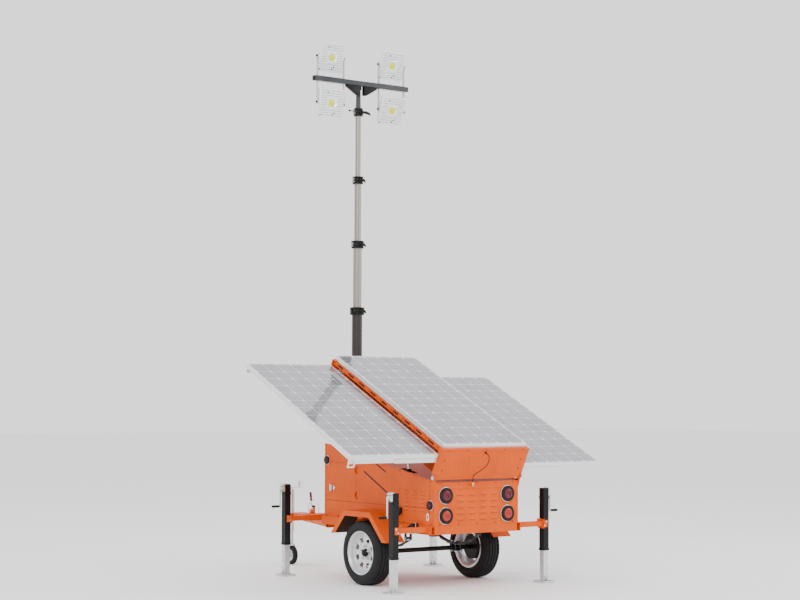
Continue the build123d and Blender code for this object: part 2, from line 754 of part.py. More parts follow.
def jack_crank(name):
    x, y = JACKS[name]
    side = math.copysign(1, x)
    face = x + side * (JACK_SIZE / 2)
    arm_in = face + side * CRANK_STAND
    arm_out = arm_in + side * CRANK_THICK
    shaft = rod((face + side * SHAFT_START, y, CRANK_Z), (arm_out, y, CRANK_Z), CRANK_R)
    arm = block(
        arm_in, arm_out, y - CRANK_HALF, y + CRANK_HALF, CRANK_Z - CRANK_DROP, CRANK_Z + CRANK_HALF
    )
    grip_z = CRANK_Z - CRANK_DROP + GRIP_R
    grip = rod((arm_out, y, grip_z), (arm_out + side * GRIP_LENGTH, y, grip_z), GRIP_R)
    return [shaft + arm + grip]


# ------------------------------------------------------------------ cabinet
def side_wall(side, points):
    return plate_yz(points, side * (BODY_HALF - SHEET), side * BODY_HALF)


def cabinet_shell():
    floor_top = RAIL_TOP + SHEET
    solids = [block(-BODY_HALF, BODY_HALF, BODY_REAR, BODY_FRONT, RAIL_TOP, floor_top)]
    whole = [
        (BODY_REAR, floor_top), (BODY_FRONT, floor_top), (BODY_FRONT, roof_z(BODY_FRONT)),
        (BODY_REAR, roof_z(BODY_REAR)),
    ]
    solids.append(side_wall(1, whole))
    solids.append(side_wall(-1, [
        (BODY_REAR, floor_top), (BODY_FRONT, floor_top), (BODY_FRONT, DOOR_BOTTOM), (BODY_REAR, DOOR_BOTTOM),
    ]))
    solids.append(side_wall(-1, [
        (BODY_REAR, DOOR_BOTTOM), (DOOR_REAR, DOOR_BOTTOM), (DOOR_REAR, roof_z(DOOR_REAR)),
        (BODY_REAR, roof_z(BODY_REAR)),
    ]))
    solids.append(side_wall(-1, [
        (DOOR_REAR, DOOR_TOP), (DOOR_FRONT, DOOR_TOP), (DOOR_FRONT, roof_z(DOOR_FRONT)),
        (DOOR_REAR, roof_z(DOOR_REAR)),
    ]))
    solids.append(side_wall(-1, [
        (DOOR_FRONT, DOOR_BOTTOM), (BODY_FRONT, DOOR_BOTTOM), (BODY_FRONT, roof_z(BODY_FRONT)),
        (DOOR_FRONT, roof_z(DOOR_FRONT)),
    ]))
    inside = BODY_HALF - SHEET
    solids.append(block(-inside, inside, BODY_REAR, BODY_REAR + SHEET, floor_top, roof_z(BODY_REAR)))
    front_in = BODY_FRONT - SHEET
    solids.append(block(-inside, inside, front_in, BODY_FRONT, floor_top, roof_z(front_in)))
    solids += roof_pieces()
    for side in SIDES:
        solids.append(hinge_lug(side))
        solids.append(strut_bracket(side))
    solids += mast_bracket()
    return solids


def strut_slot():
    """Where the struts pass through the roof, as the slot's two ends along Y."""
    pivot = strut_pivot()
    return pivot[1] - SLOT_BEHIND, pivot[1] + SLOT_AHEAD


def roof_pieces():
    """The roof as five sheets, with the two slots between them."""
    slot_rear, slot_front = strut_slot()
    slot_in = STRUT_X - STRUT_R - SLOT_SIDE
    slot_out = STRUT_X + STRUT_R + SLOT_SIDE
    pieces = [
        (-BODY_HALF, BODY_HALF, BODY_REAR, slot_rear),
        (-BODY_HALF, -slot_out, slot_rear, slot_front),
        (-slot_in, slot_in, slot_rear, slot_front),
        (slot_out, BODY_HALF, slot_rear, slot_front),
        (-BODY_HALF, BODY_HALF, slot_front, BODY_FRONT),
    ]
    solids = []
    for x0, x1, y0, y1 in pieces:
        outline = [(y0, roof_z(y0)), (y1, roof_z(y1)), (y1, roof_z(y1) + SHEET), (y0, roof_z(y0) + SHEET)]
        solids.append(plate_yz(outline, x0, x1))
    return solids


def hinge_lug(side):
    x0 = side * BODY_HALF
    x1 = side * (BODY_HALF + LUG_THICK)
    foot = [
        (HINGE_Y - LUG_R, HINGE_Z), (HINGE_Y + LUG_R, HINGE_Z), (BODY_REAR + 62, HINGE_Z - 105),
        (BODY_REAR, HINGE_Z - 105),
    ]
    lug = plate_yz(foot, x0, x1) + rod((x0, HINGE_Y, HINGE_Z), (x1, HINGE_Y, HINGE_Z), LUG_R)
    return lug - rod((x0 - side, HINGE_Y, HINGE_Z), (x1 + side, HINGE_Y, HINGE_Z), PIN_R + RUNNING)


def strut_pivot():
    dip = math.radians(STRUT_DIP)
    return 0, HINGE_Y + STRUT_REACH * math.cos(dip), HINGE_Z - STRUT_REACH * math.sin(dip)


def strut_bracket(side):
    _, y, z = strut_pivot()
    x = side * STRUT_X
    inner = STRUT_R + BRACKET_GAP
    outer = inner + BRACKET_WALL
    foot = RAIL_TOP + SHEET
    bracket = block(x - outer, x + outer, y - BRACKET_FOOT, y + BRACKET_FOOT, foot, foot + BRACKET_WALL)
    for face in SIDES:
        bracket += block(
            x + face * inner, x + face * outer, y - BRACKET_HALF, y + BRACKET_HALF, foot, z + BRACKET_HALF
        )
    return bracket + rod((x - outer, y, z), (x + outer, y, z), STRUT_PIN_R)


def mast_bracket():
    """The clamp round the mast's lowest tube, and the stay from the cabinet's front wall."""
    low = MAST_CLAMP_LOW
    high = MAST_CLAMP_HIGH
    outer = MAST_TUBES[0][0]
    reach = outer + MAST_CLAMP_WALL
    clamp = block(-MAST_CLAMP_HALF, MAST_CLAMP_HALF, MAST_Y - reach, MAST_Y + reach, low, high)
    clamp -= rod((0, MAST_Y, low - 1), (0, MAST_Y, high + 1), outer + FIT_GAP)
    stay = block(-MAST_STAY_HALF, MAST_STAY_HALF, BODY_FRONT, MAST_Y - reach, low, high)
    return [clamp, stay]


def cabinet_door():
    gap = DOOR_GAP
    sheet = block(
        -BODY_HALF, -BODY_HALF + SHEET - 1, DOOR_REAR + gap, DOOR_FRONT - gap,
        DOOR_BOTTOM + gap, DOOR_TOP - gap,
    )
    bore_r = LATCH_SHAFT_R + RUNNING
    sheet -= rod((-BODY_HALF - 1, LATCH_Y, LATCH_Z), (-BODY_HALF + SHEET, LATCH_Y, LATCH_Z), bore_r)
    for z in door_hinge_heights():
        low = z - KNUCKLE_HALF
        high = z + KNUCKLE_HALF
        sheet += rod((DOOR_HINGE_X, DOOR_REAR, low), (DOOR_HINGE_X, DOOR_REAR, high), KNUCKLE_R)
        sheet += block(
            DOOR_HINGE_X, -BODY_HALF, DOOR_REAR + HINGE_PIN_R, DOOR_REAR + HINGE_PIN_R + 25, low, high
        )
        sheet -= rod(
            (DOOR_HINGE_X, DOOR_REAR, low - 1), (DOOR_HINGE_X, DOOR_REAR, high + 1), HINGE_PIN_R + RUNNING
        )
    return [sheet]


def door_hinge_heights():
    return DOOR_BOTTOM + DOOR_HINGE_INSET, DOOR_TOP - DOOR_HINGE_INSET


def door_hinge_pins():
    """The fixed halves of the door hinges: a pin between two ears that stand on the wall."""
    solids = []
    for z in door_hinge_heights():
        pin_low = (DOOR_HINGE_X, DOOR_REAR, z - HINGE_EAR_OUT)
        pin_high = (DOOR_HINGE_X, DOOR_REAR, z + HINGE_EAR_OUT)
        pin = rod(pin_low, pin_high, HINGE_PIN_R)
        for end in SIDES:
            pin += block(
                DOOR_HINGE_X - KNUCKLE_R, -BODY_HALF, DOOR_REAR - 26, DOOR_REAR + 0.5,
                z + end * HINGE_EAR_IN, z + end * HINGE_EAR_OUT,
            )
        solids.append(pin)
    return solids


def door_latch():
    shaft = rod((-BODY_HALF - 6, LATCH_Y, LATCH_Z), (-BODY_HALF + 14, LATCH_Y, LATCH_Z), LATCH_SHAFT_R)
    handle = block(-BODY_HALF - 20, -BODY_HALF - 4, LATCH_Y - 14, LATCH_Y + 14, LATCH_Z - 34, LATCH_Z + 34)
    cam = block(-BODY_HALF + 10, -BODY_HALF + 14, LATCH_Y - 10, LATCH_Y + 10, LATCH_Z - 10, LATCH_Z + 24)
    return [shaft + handle + cam]


def lamp_places():
    """Every round lamp: (rear lamps as (x, z)), (side markers as (side, y, z))."""
    rear = [(side * REAR_LAMP_X, z) for z in (RED_Z, AMBER_Z) for side in SIDES]
    marks = [(side, y, z) for y, z in MARKERS for side in SIDES]
    return rear, marks


def lamp_housings():
    rear, marks = lamp_places()
    solids = []
    for x, z in rear:
        ring = rod((x, BODY_REAR, z), (x, BODY_REAR - LAMP_STAND, z), REAR_LAMP_R)
        ring -= rod(
            (x, BODY_REAR - LAMP_FLOOR, z), (x, BODY_REAR - LAMP_STAND - 1, z), REAR_LAMP_R - LAMP_RING
        )
        solids.append(ring)
    for side, y, z in marks:
        face = side * BODY_HALF
        ring = rod((face, y, z), (face + side * MARKER_STAND, y, z), MARKER_R)
        ring -= rod(
            (face + side * LAMP_FLOOR, y, z), (face + side * (MARKER_STAND + 1), y, z), MARKER_R - MARKER_RING
        )
        solids.append(ring)
    return solids


def rear_lenses(z):
    solids = []
    for side in SIDES:
        x = side * REAR_LAMP_X
        radius = REAR_LAMP_R - LAMP_RING - FIT_GAP
        solids.append(rod(
            (x, BODY_REAR - LAMP_FLOOR, z), (x, BODY_REAR - LAMP_STAND + LENS_INSET, z), radius
        ))
    return solids


def marker_lenses(y, z):
    solids = []
    for side in SIDES:
        start = side * (BODY_HALF + LAMP_FLOOR)
        end = side * (BODY_HALF + MARKER_STAND - LENS_INSET)
        solids.append(rod((start, y, z), (end, y, z), MARKER_R - MARKER_RING - FIT_GAP))
    return solids


def red_lamp_lenses():
    return rear_lenses(RED_Z) + marker_lenses(*MARKERS[0])


def amber_lamp_lenses():
    return rear_lenses(AMBER_Z) + marker_lenses(*MARKERS[1])


def battery_bank():
    """The batteries in a row on the floor, and the charge controller on the front wall."""
    floor_top = RAIL_TOP + SHEET
    solids = []
    for index in range(BATTERIES):
        x = (index - (BATTERIES - 1) / 2) * BATTERY_PITCH
        solids.append(block(
            x - BATTERY_WIDTH / 2, x + BATTERY_WIDTH / 2, *BATTERY_Y, floor_top, floor_top + BATTERY_TALL
        ))
    front_in = BODY_FRONT - SHEET
    solids.append(block(
        -CONTROLLER_HALF, CONTROLLER_HALF, front_in - CONTROLLER_DEEP, front_in, *CONTROLLER_Z
    ))
    return solids


# ------------------------------------------------------------------ mast and lights
def mast_tube(index):
    """One telescoping tube with its guide inside the tube below, and the collar on its top."""
    outer, wall, bottom, top = MAST_TUBES[index]
    pipe = tube((0, MAST_Y, bottom), (0, MAST_Y, top), outer, outer - wall)
    if index > 0:
        outer_above = MAST_TUBES[index - 1][0] - MAST_TUBES[index - 1][1]
        guide_top = (0, MAST_Y, bottom + GUIDE_HEIGHT)
        pipe += tube((0, MAST_Y, bottom), guide_top, outer_above - RUNNING, outer - wall)
    inner_below = MAST_TUBES[index + 1][0] if index < len(MAST_TUBES) - 1 else POST_R
    collar_top = top + COLLAR_HEIGHT
    collar = tube((0, MAST_Y, top), (0, MAST_Y, collar_top), COLLAR_R[index], inner_below + RUNNING)
    ear = COLLAR_R[index] + COLLAR_EAR
    ears = block(
        -ear, ear, MAST_Y - COLLAR_EAR_HALF, MAST_Y + COLLAR_EAR_HALF, top + COLLAR_EAR_INSET,
        collar_top - COLLAR_EAR_INSET,
    )
    ears -= rod((0, MAST_Y, top), (0, MAST_Y, collar_top), COLLAR_R[index] - 4)
    return [pipe, collar + ears]


def head_post():
    """The post that turns in the top collar, its thrust ring and the seat of the bar."""
    top = BAR_Z + BAR_SIZE / 2
    mast_top = MAST_TUBES[-1][3]
    collar_top = mast_top + COLLAR_HEIGHT
    post = rod((0, MAST_Y, mast_top + POST_CLEAR), (0, MAST_Y, top), POST_R)
    ring_low = (0, MAST_Y, collar_top + HEAD_RING_LOW)
    ring_high = (0, MAST_Y, collar_top + HEAD_RING_HIGH)
    post += tube(ring_low, ring_high, HEAD_RING_R, POST_R - 1)
    return post + block(-POST_R, POST_R, BAR_Y + BAR_SIZE / 2, MAST_Y, BAR_Z - SEAT_DROP, top)


def gusset(side):
    low = BAR_Z - BAR_SIZE / 2
    points = [(side * POST_R, low), (side * GUSSET_OUT, low), (side * POST_R, low - GUSSET_DROP)]
    face = make_face(Polyline(*[(x, BAR_Y + GUSSET_SET_BACK, z) for x, z in points], close=True))
    return extrude(face, amount=GUSSET_THICK, dir=(0, 1, 0))


def yoke(x, z, up):
    """A lamp's yoke: a strap on the bar and two legs with the bores of the lamp's trunnions."""
    rear = BAR_Y - YOKE_WIDTH / 2
    front = BAR_Y + YOKE_WIDTH / 2
    root = BAR_Z + up * BAR_SIZE / 2
    leg_root = root + up * YOKE_THICK
    leg_in = YOKE_HALF - YOKE_THICK
    solids = [block(x - YOKE_HALF, x + YOKE_HALF, rear, front, root, leg_root)]
    for end in SIDES:
        leg = block(x + end * leg_in, x + end * YOKE_HALF, rear, front, leg_root, z + up * YOKE_PAST)
        bore_start = (x + end * (leg_in - 1), BAR_Y, z)
        bore_end = (x + end * (YOKE_HALF + 1), BAR_Y, z)
        solids.append(leg - rod(bore_start, bore_end, TRUNNION_R + RUNNING))
    return solids


def light_bar():
    bar = square_tube_x(-BAR_HALF, BAR_HALF, BAR_Y, BAR_Z, BAR_SIZE, BAR_SIZE - 2 * BAR_WALL)
    solids = [head_post(), bar]
    solids += [gusset(side) for side in SIDES]
    for x in (-LAMP_X, LAMP_X):
        solids += yoke(x, LAMP_UP_Z, 1) + yoke(x, LAMP_LOW_Z, -1)
    return solids


def floodlight(name):
    """A square lamp with fins behind it, turned down about its trunnions by its own aim."""
    x = -LAMP_X if name[1] == "l" else LAMP_X
    z = LAMP_UP_Z if name[0] == "u" else LAMP_LOW_Z
    half = LAMP_SIZE / 2
    face_y = -LAMP_DEPTH / 2
    case_y = face_y + LAMP_FACE + LAMP_CASE
    case = block(-half, half, face_y + LAMP_FACE, case_y, -half, half)
    pitch = (LAMP_SIZE - 3 * FIN_THICK) / (FINS - 1)
    for index in range(FINS):
        fin_x = -half + FIN_THICK + pitch * index
        case += block(fin_x, fin_x + FIN_THICK, case_y, LAMP_DEPTH / 2, -half, half)
    for end in SIDES:
        case += rod((end * (half - TRUNNION_R), 0, 0), (end * (YOKE_HALF + TRUNNION_R), 0, 0), TRUNNION_R)
    reflector = rod((0, face_y, 0), (0, face_y + LAMP_FACE, 0), REFLECTOR_R)
    place = Pos(x, BAR_Y, z) * Rot(LAMP_AIM[name], 0, 0)
    return [place * case, place * reflector]


# ------------------------------------------------------------------ solar array
def tray_plane():
    tilt = math.radians(TILT)
    return Plane(origin=(0, HINGE_Y, HINGE_Z), x_dir=(1, 0, 0), z_dir=(0, -math.sin(tilt), math.cos(tilt)))


def in_tray(solids):
    plane = tray_plane()
    return [plane * solid for solid in solids]


def rail_places():
    """(fixed, middle, panel) strips of the slides along u, at the rear and at the front of the tray."""
    rear_inner = REAR_WALL_U + TRAY_SHEET
    rear_fixed_end = PANEL_U + FIXED_RAIL_LAP
    front_inner = FRONT_WALL_U
    rear = (
        (rear_inner, rear_fixed_end),
        (rear_fixed_end + MEMBER_GAP, rear_fixed_end + MEMBER_GAP + MEMBER),
        (rear_fixed_end + 2 * MEMBER_GAP + MEMBER, rear_fixed_end + 2 * MEMBER_GAP + 2 * MEMBER),
    )
    front = (
        (front_inner - MEMBER, front_inner),
        (front_inner - 2 * MEMBER - MEMBER_GAP, front_inner - MEMBER - MEMBER_GAP),
        (front_inner - 3 * MEMBER - 2 * MEMBER_GAP, front_inner - 2 * MEMBER - 2 * MEMBER_GAP),
    )
    return rear, front


def rail_heights(level):
    top = LEVELS[level] - RAIL_DROP
    return top - RAIL_HEIGHT, top


def fixed_rails():
    """The slides' fixed members; the left rear one stops short of the stowed module's pull handle."""
    rear, front = rail_places()
    left_ends = {rear[0]: TRAY_HALF - HANDLE_WIDTH - 10, front[0]: TRAY_HALF}
    solids = []
    for (u0, u1), left_end in left_ends.items():
        solids.append(block(-left_end, TRAY_HALF, u0, u1, *rail_heights("left")))
        solids.append(block(-TRAY_HALF, TRAY_HALF, u0, u1, *rail_heights("right")))
    return solids


def solar_tray():
    """The tilting frame: end walls, pan, side beams, hinge ears, clevises, grommet and fixed rails."""
    wall_in = REAR_WALL_U + TRAY_SHEET
    centre_w = LEVELS["centre"]
    flange_low = centre_w - FLANGE_THICK
    wall = block(-TRAY_HALF, TRAY_HALF, REAR_WALL_U, wall_in, WALL_FOOT, centre_w)
    wall += block(-TRAY_WIDE, TRAY_WIDE, REAR_WALL_U, wall_in, LUG_R + 6, centre_w)
    solids = [wall]
    pan_top = PAN_W + TRAY_SHEET
    solids.append(block(-TRAY_HALF, TRAY_HALF, wall_in, FRONT_WALL_U, PAN_W, pan_top))
    solids.append(block(
        -TRAY_WIDE, TRAY_WIDE, FRONT_WALL_U, FRONT_WALL_U + TRAY_SHEET, PAN_W, centre_w
    ))
    solids.append(block(-TRAY_WIDE, TRAY_WIDE, wall_in, wall_in + TOP_FLANGE, flange_low, centre_w))
    solids.append(block(-TRAY_WIDE, TRAY_WIDE, FRONT_WALL_U - TOP_FLANGE, FRONT_WALL_U, flange_low, centre_w))
    beam_low = LEVELS["left"] + PANEL_HEIGHT + BEAM_GAP
    for side in SIDES:
        solids.append(block(
            side * (TRAY_HALF - BEAM_WIDTH), side * TRAY_HALF, wall_in, FRONT_WALL_U, beam_low, flange_low
        ))
        solids.append(tray_ear(side))
        solids.append(strut_clevis(side))
    grommet_x = CABLE_ROUTE[0][0]
    solids.append(rod(
        (grommet_x, REAR_WALL_U, CABLE_W), (grommet_x, REAR_WALL_U - GROMMET_LENGTH, CABLE_W), GROMMET_R
    ))
    return in_tray(solids + fixed_rails())


def tray_ear(side):
    """The hinge ear on the rear wall, with its pin through the cabinet's lug."""
    face = BODY_HALF + LUG_THICK + EAR_GAP
    wall_in = REAR_WALL_U + TRAY_SHEET
    ear = block(side * face, side * TRAY_WIDE, REAR_WALL_U, 30, WALL_FOOT, LUG_R + 6)
    ear += rod((side * (BODY_HALF - 3), 0, 0), (side * TRAY_WIDE, 0, 0), PIN_R)
    ear += rod((side * TRAY_WIDE, 0, 0), (side * (TRAY_WIDE + 8), 0, 0), 13)
    brace = block(side * face, side * TRAY_WIDE, wall_in, 12, LUG_R + 6, LUG_R + 30)
    return ear + brace


def strut_clevis(side):
    """The bracket under the pan that the strut's rod end hangs on."""
    x = side * STRUT_X
    outer = CLEVIS_GAP + CLEVIS_WALL
    u = STRUT_REACH
    clevis = block(x - outer, x + outer, u - CLEVIS_HALF - 4, u + CLEVIS_HALF + 4, PAN_W - 2, PAN_W)
    for face in SIDES:
        clevis += block(
            x + face * CLEVIS_GAP, x + face * outer, u - CLEVIS_HALF, u + CLEVIS_HALF, -CLEVIS_DROP, PAN_W
        )
    return clevis + rod((x - outer, u, 0), (x + outer, u, 0), CLEVIS_PIN_R)


def slide_rails(name):
    """The two middle members of one module's slides."""
    side = -1 if name == "left" else 1
    low, high = rail_heights(name)
    inner = side * MEMBER_START
    outer = side * (MEMBER_START + MEMBER_LENGTH)
    solids = []
    for _, middle, _ in rail_places():
        solids.append(block(inner, outer, middle[0], middle[1], low, high))
    return in_tray(solids)


def panel_centre_x(name):
    return {"centre": 0, "left": -SLIDE_OUT, "right": SLIDE_OUT}[name]


def panel_frame(name):
    x = panel_centre_x(name)
    w = LEVELS[name]
    half = PANEL_WIDTH / 2
    end_u = PANEL_U + PANEL_LENGTH
    solids = []
    for side in SIDES:
        solids.append(block(
            x + side * (half - PANEL_EDGE), x + side * half, PANEL_U, end_u, w, w + PANEL_HEIGHT
        ))
    inner = half - PANEL_EDGE
    for u0, direction in ((PANEL_U, 1), (end_u, -1)):
        bar = block(x - inner, x + inner, u0, u0 + direction * PANEL_EDGE, w, w + PANEL_HEIGHT)
        bar += block(x - inner, x + inner, u0, u0 + direction * PANEL_FLANGE, w, w + FLANGE_THICK)
        solids.append(bar)
    if name == "centre":
        beam_low = LEVELS["left"] + PANEL_HEIGHT + BEAM_GAP
        inside = TRAY_HALF - BEAM_WIDTH
        solids.append(block(-inside, inside, *CROSS_RAIL, beam_low, w))
    else:
        for _, _, own in rail_places():
            low, _ = rail_heights(name)
            solids.append(block(x - inner, x + inner, own[0], own[1], low, w))
    if name == "left":
        solids.append(pull_handle(x - half, w))
    return in_tray(solids)


def pull_handle(x0, w):
    """A bent strip handle that hangs under the outer rear corner of the left module."""
    low = w - HANDLE_DROP
    handle = block(x0, x0 + HANDLE_WIDTH, PANEL_U - HANDLE_THICK, PANEL_U, low, w + HANDLE_LAP)
    return handle - block(
        x0 + HANDLE_BAR, x0 + HANDLE_WIDTH - HANDLE_BAR, PANEL_U - HANDLE_THICK - 1, PANEL_U + 1,
        low + HANDLE_BAR, w - HANDLE_BAR / 2,
    )


def solar_laminate(name):
    x = panel_centre_x(name)
    top = LEVELS[name] + PANEL_HEIGHT - 1
    half = PANEL_WIDTH / 2 - PANEL_EDGE
    sheet = block(
        x - half, x + half, PANEL_U + PANEL_EDGE, PANEL_U + PANEL_LENGTH - PANEL_EDGE, top - GLASS, top
    )
    return in_tray([sheet])


# ------------------------------------------------------------------ tray struts
def strut_angle():
    """Angle of the struts above the horizontal, from the two equal arms about the tray's hinge."""
    return math.radians((TILT - STRUT_DIP) / 2 + 90)


def strut_length():
    return 2 * STRUT_REACH * math.sin(math.radians((TILT + STRUT_DIP) / 2))


def along_strut(x, distance):
    _, y, z = strut_pivot()
    angle = strut_angle()
    return x, y + distance * math.cos(angle), z + distance * math.sin(angle)


def strut_cylinders():
    solids = []
    for side in SIDES:
        x = side * STRUT_X
        _, y, z = strut_pivot()
        cylinder = tube(along_strut(x, 30), along_strut(x, CYLINDER_LENGTH), STRUT_R, ROD_R + RUNNING)
        cylinder += rod(along_strut(x, 14), along_strut(x, 30), STRUT_R)
        cylinder += rod((x - 20, y, z), (x + 20, y, z), 20)
        cylinder -= rod((x - 21, y, z), (x + 21, y, z), STRUT_PIN_R + RUNNING)
        solids.append(cylinder)
    return solids


def strut_rods():
    """The rods; each eye has a slot, because a fixed ratio follows the real linkage only closely."""
    solids = []
    length = strut_length()
    for side in SIDES:
        x = side * STRUT_X
        neck = length - NECK_DROP
        bar = rod(along_strut(x, ROD_START), along_strut(x, neck), ROD_R)
        bar += rod(along_strut(x, neck), along_strut(x, length - SLOT_DROP), NECK_R)
        for distance in (length, length - SLOT_DROP):
            centre = along_strut(x, distance)
            eye_start = (x - EYE_HALF_WIDTH, centre[1], centre[2])
            eye_end = (x + EYE_HALF_WIDTH, centre[1], centre[2])
            bar += rod(eye_start, eye_end, ROD_R + 1)
        for step in range(SLOT_CUTS):
            centre = along_strut(x, length - SLOT_DROP * step / (SLOT_CUTS - 1))
            cut_half = EYE_HALF_WIDTH + 1
            bar -= rod((x - cut_half, centre[1], centre[2]), (x + cut_half, centre[1], centre[2]), EYE_BORE)
        solids.append(bar)
    return solids


def cable_gland():
    """The upright gland behind the cabinet's rear wall, with the stay that holds it."""
    x, y, top = CABLE_ROUTE[-1]
    gland = rod((x, y, top), (x, y, top - GLAND_LENGTH), GLAND_R)
    stay = block(x - 7, x + 7, BODY_REAR, y, top - GLAND_LENGTH + 5, top - 12)
    return [gland + stay]


def cable_exit():
    """Where the cable leaves the grommet in the tray's rear wall."""
    tilt = math.radians(TILT)
    u = REAR_WALL_U - GROMMET_LENGTH - FIT_GAP
    y = HINGE_Y + u * math.cos(tilt) - CABLE_W * math.sin(tilt)
    z = HINGE_Z + u * math.sin(tilt) + CABLE_W * math.cos(tilt)
    return CABLE_ROUTE[0][0], y, z


def tray_cable():
    points = [Vector(*point) for point in (cable_exit(), *CABLE_ROUTE)]
    radii = []
    for before, here, after in zip(points, points[1:], points[2:]):
        turn = (here - before).get_angle(after - here)
        run = min((here - before).length, (after - here).length)
        radii.append(0.45 * run / math.tan(math.radians(turn / 2)))
    print("tray_cable radii", [round(radius) for radius in radii])
    path = FilletPolyline(*points, radius=radii)
    start = Plane(origin=path @ 0, z_dir=path % 0)
    cable = sweep(start * Circle(CABLE_R), path=path)
    ratio = cable.volume / (math.pi * CABLE_R**2 * path.length)
    print("tray_cable length", round(path.length), "volume over section times length", round(ratio, 4))
    return [cable]


def build():
    """Every node as a list of solids, in the design frame."""
    nodes = {
        "chassis_frame": chassis_frame(),
        "drawbar": drawbar(),
        "coupler": coupler(),
        "handbrake_lever": handbrake_lever(),
        "jockey_tube": jockey_tube(),
        "jockey_leg": jockey_leg(),
        "jockey_wheel": jockey_wheel(),
        "jockey_crank": jockey_crank(),
        "axle_beam": axle_beam(),
        "leaf_springs": leaf_springs(),
        "fenders": fenders(),
        "wheel_chocks": wheel_chocks(),
        "cabinet_shell": cabinet_shell() + door_hinge_pins() + cable_gland(),
        "cabinet_door": cabinet_door(),
        "door_latch": door_latch(),
        "lamp_housings": lamp_housings(),
        "red_lamp_lenses": red_lamp_lenses(),
        "amber_lamp_lenses": amber_lamp_lenses(),
        "battery_bank": battery_bank(),
        "light_bar": light_bar(),
        "solar_tray": solar_tray(),
        "strut_cylinders": strut_cylinders(),
        "strut_rods": strut_rods(),
        "tray_cable": tray_cable(),
    }
    for side, name in ((-1, "left"), (1, "right")):
        nodes["tyre_" + name] = tyre(side)
        nodes["rim_" + name] = rim(side)
        nodes["slide_rails_" + name] = slide_rails(name)
    for name in JACKS:
        nodes["outrigger_arm_" + name] = outrigger_arm(name)
        nodes["jack_tube_" + name] = jack_tube(name)
        nodes["jack_leg_" + name] = jack_leg(name)
        nodes["jack_crank_" + name] = jack_crank(name)
    for index in range(len(MAST_TUBES)):
        nodes["mast_tube_" + str(index + 1)] = mast_tube(index)
    for name in LAMP_AIM:
        nodes["floodlight_" + name] = floodlight(name)
    for name in LEVELS:
        nodes["panel_frame_" + name] = panel_frame(name)
        nodes["solar_laminate_" + name] = solar_laminate(name)
    return nodes


def footprint_middle(nodes):
    """Middle of the trailer along Y, without the loose cable."""
    box = Compound([solid for name in nodes if name != "tray_cable" for solid in nodes[name]]).bounding_box()
    return (box.min.Y + box.max.Y) / 2


def write(nodes):
    os.makedirs("parts", exist_ok=True)
    shift = Pos(0, -footprint_middle(nodes), 0)
    for name, solids in nodes.items():
        single = [piece for solid in solids for piece in solid.solids()]
        shape = shift * (Compound(single) if len(single) > 1 else single[0])
        export_step(shape, "parts/" + name + ".step")
    print("nodes", len(nodes), "footprint middle", round(footprint_middle(nodes), 3))


if __name__ == "__main__":
    write(build())
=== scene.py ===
# %% [markdown]
# # A solar light tower trailer
# The trailer is rebuilt here around its engineering model. That model gives every frame, tube and hinge
# at its true size, so this lesson only adds what the eye reads: pressed sheet metal, paint, glass and
# rubber. The first cell loads the model. Nothing added later may grow past it.

# %% Load the frame
import bpy, bmesh, json, math
from mathutils import Matrix, Vector


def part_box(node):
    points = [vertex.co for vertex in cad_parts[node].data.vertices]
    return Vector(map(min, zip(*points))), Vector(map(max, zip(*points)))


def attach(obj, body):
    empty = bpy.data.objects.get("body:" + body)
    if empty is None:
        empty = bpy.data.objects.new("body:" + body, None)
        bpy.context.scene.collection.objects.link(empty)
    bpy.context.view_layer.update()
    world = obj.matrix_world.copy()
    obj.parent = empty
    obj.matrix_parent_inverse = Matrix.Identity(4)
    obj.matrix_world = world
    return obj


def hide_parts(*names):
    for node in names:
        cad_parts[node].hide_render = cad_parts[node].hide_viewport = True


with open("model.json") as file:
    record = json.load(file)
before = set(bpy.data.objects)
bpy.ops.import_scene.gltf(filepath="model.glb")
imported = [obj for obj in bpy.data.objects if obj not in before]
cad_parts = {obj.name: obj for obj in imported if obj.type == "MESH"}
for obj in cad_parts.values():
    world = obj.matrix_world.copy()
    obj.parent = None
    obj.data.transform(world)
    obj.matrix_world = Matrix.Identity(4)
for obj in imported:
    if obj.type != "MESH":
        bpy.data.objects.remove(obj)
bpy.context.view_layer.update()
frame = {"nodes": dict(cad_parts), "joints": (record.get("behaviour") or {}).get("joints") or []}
joints = {joint["name"]: joint for joint in frame["joints"]}

# %% [markdown]
# ## The view and the light
# A long lens from about seventeen metres keeps the mast straight and the cabinet's edges nearly parallel.
# The light is a plain bright room: a white world, one large soft key from the left, a weak fill and a
# weak light above, so that the white floodlights still read against the background.

# %% Camera, floor and lamps
EYE = Vector((-10.502, -14.525, 1.805))
HEADING = -0.6375
LOOK_UP = 0.0541
ROLL = 0.0042
LENS = 79.4
SENSOR = 36
FAR_CLIP = 200
ROOM_STRENGTH = 1.6
AREA_LAMPS = [
    ("key", (-9, -9, 9), (0, 0, 1.0), 6, 900),
    ("fill", (9, -8, 6), (0, 0, 1.5), 7, 350),
    ("top", (1, 3, 11), (0, 0, 1.5), 6, 250),
]


def add_camera():
    data = bpy.data.cameras.new("view")
    data.lens = LENS
    data.sensor_width = SENSOR
    data.clip_end = FAR_CLIP
    camera = bpy.data.objects.new("view", data)
    turn = Matrix.Rotation(HEADING, 4, "Z") @ Matrix.Rotation(math.pi / 2 + LOOK_UP, 4, "X")
    camera.matrix_world = Matrix.Translation(EYE) @ turn @ Matrix.Rotation(ROLL, 4, "Z")
    bpy.context.scene.collection.objects.link(camera)
    bpy.context.scene.camera = camera


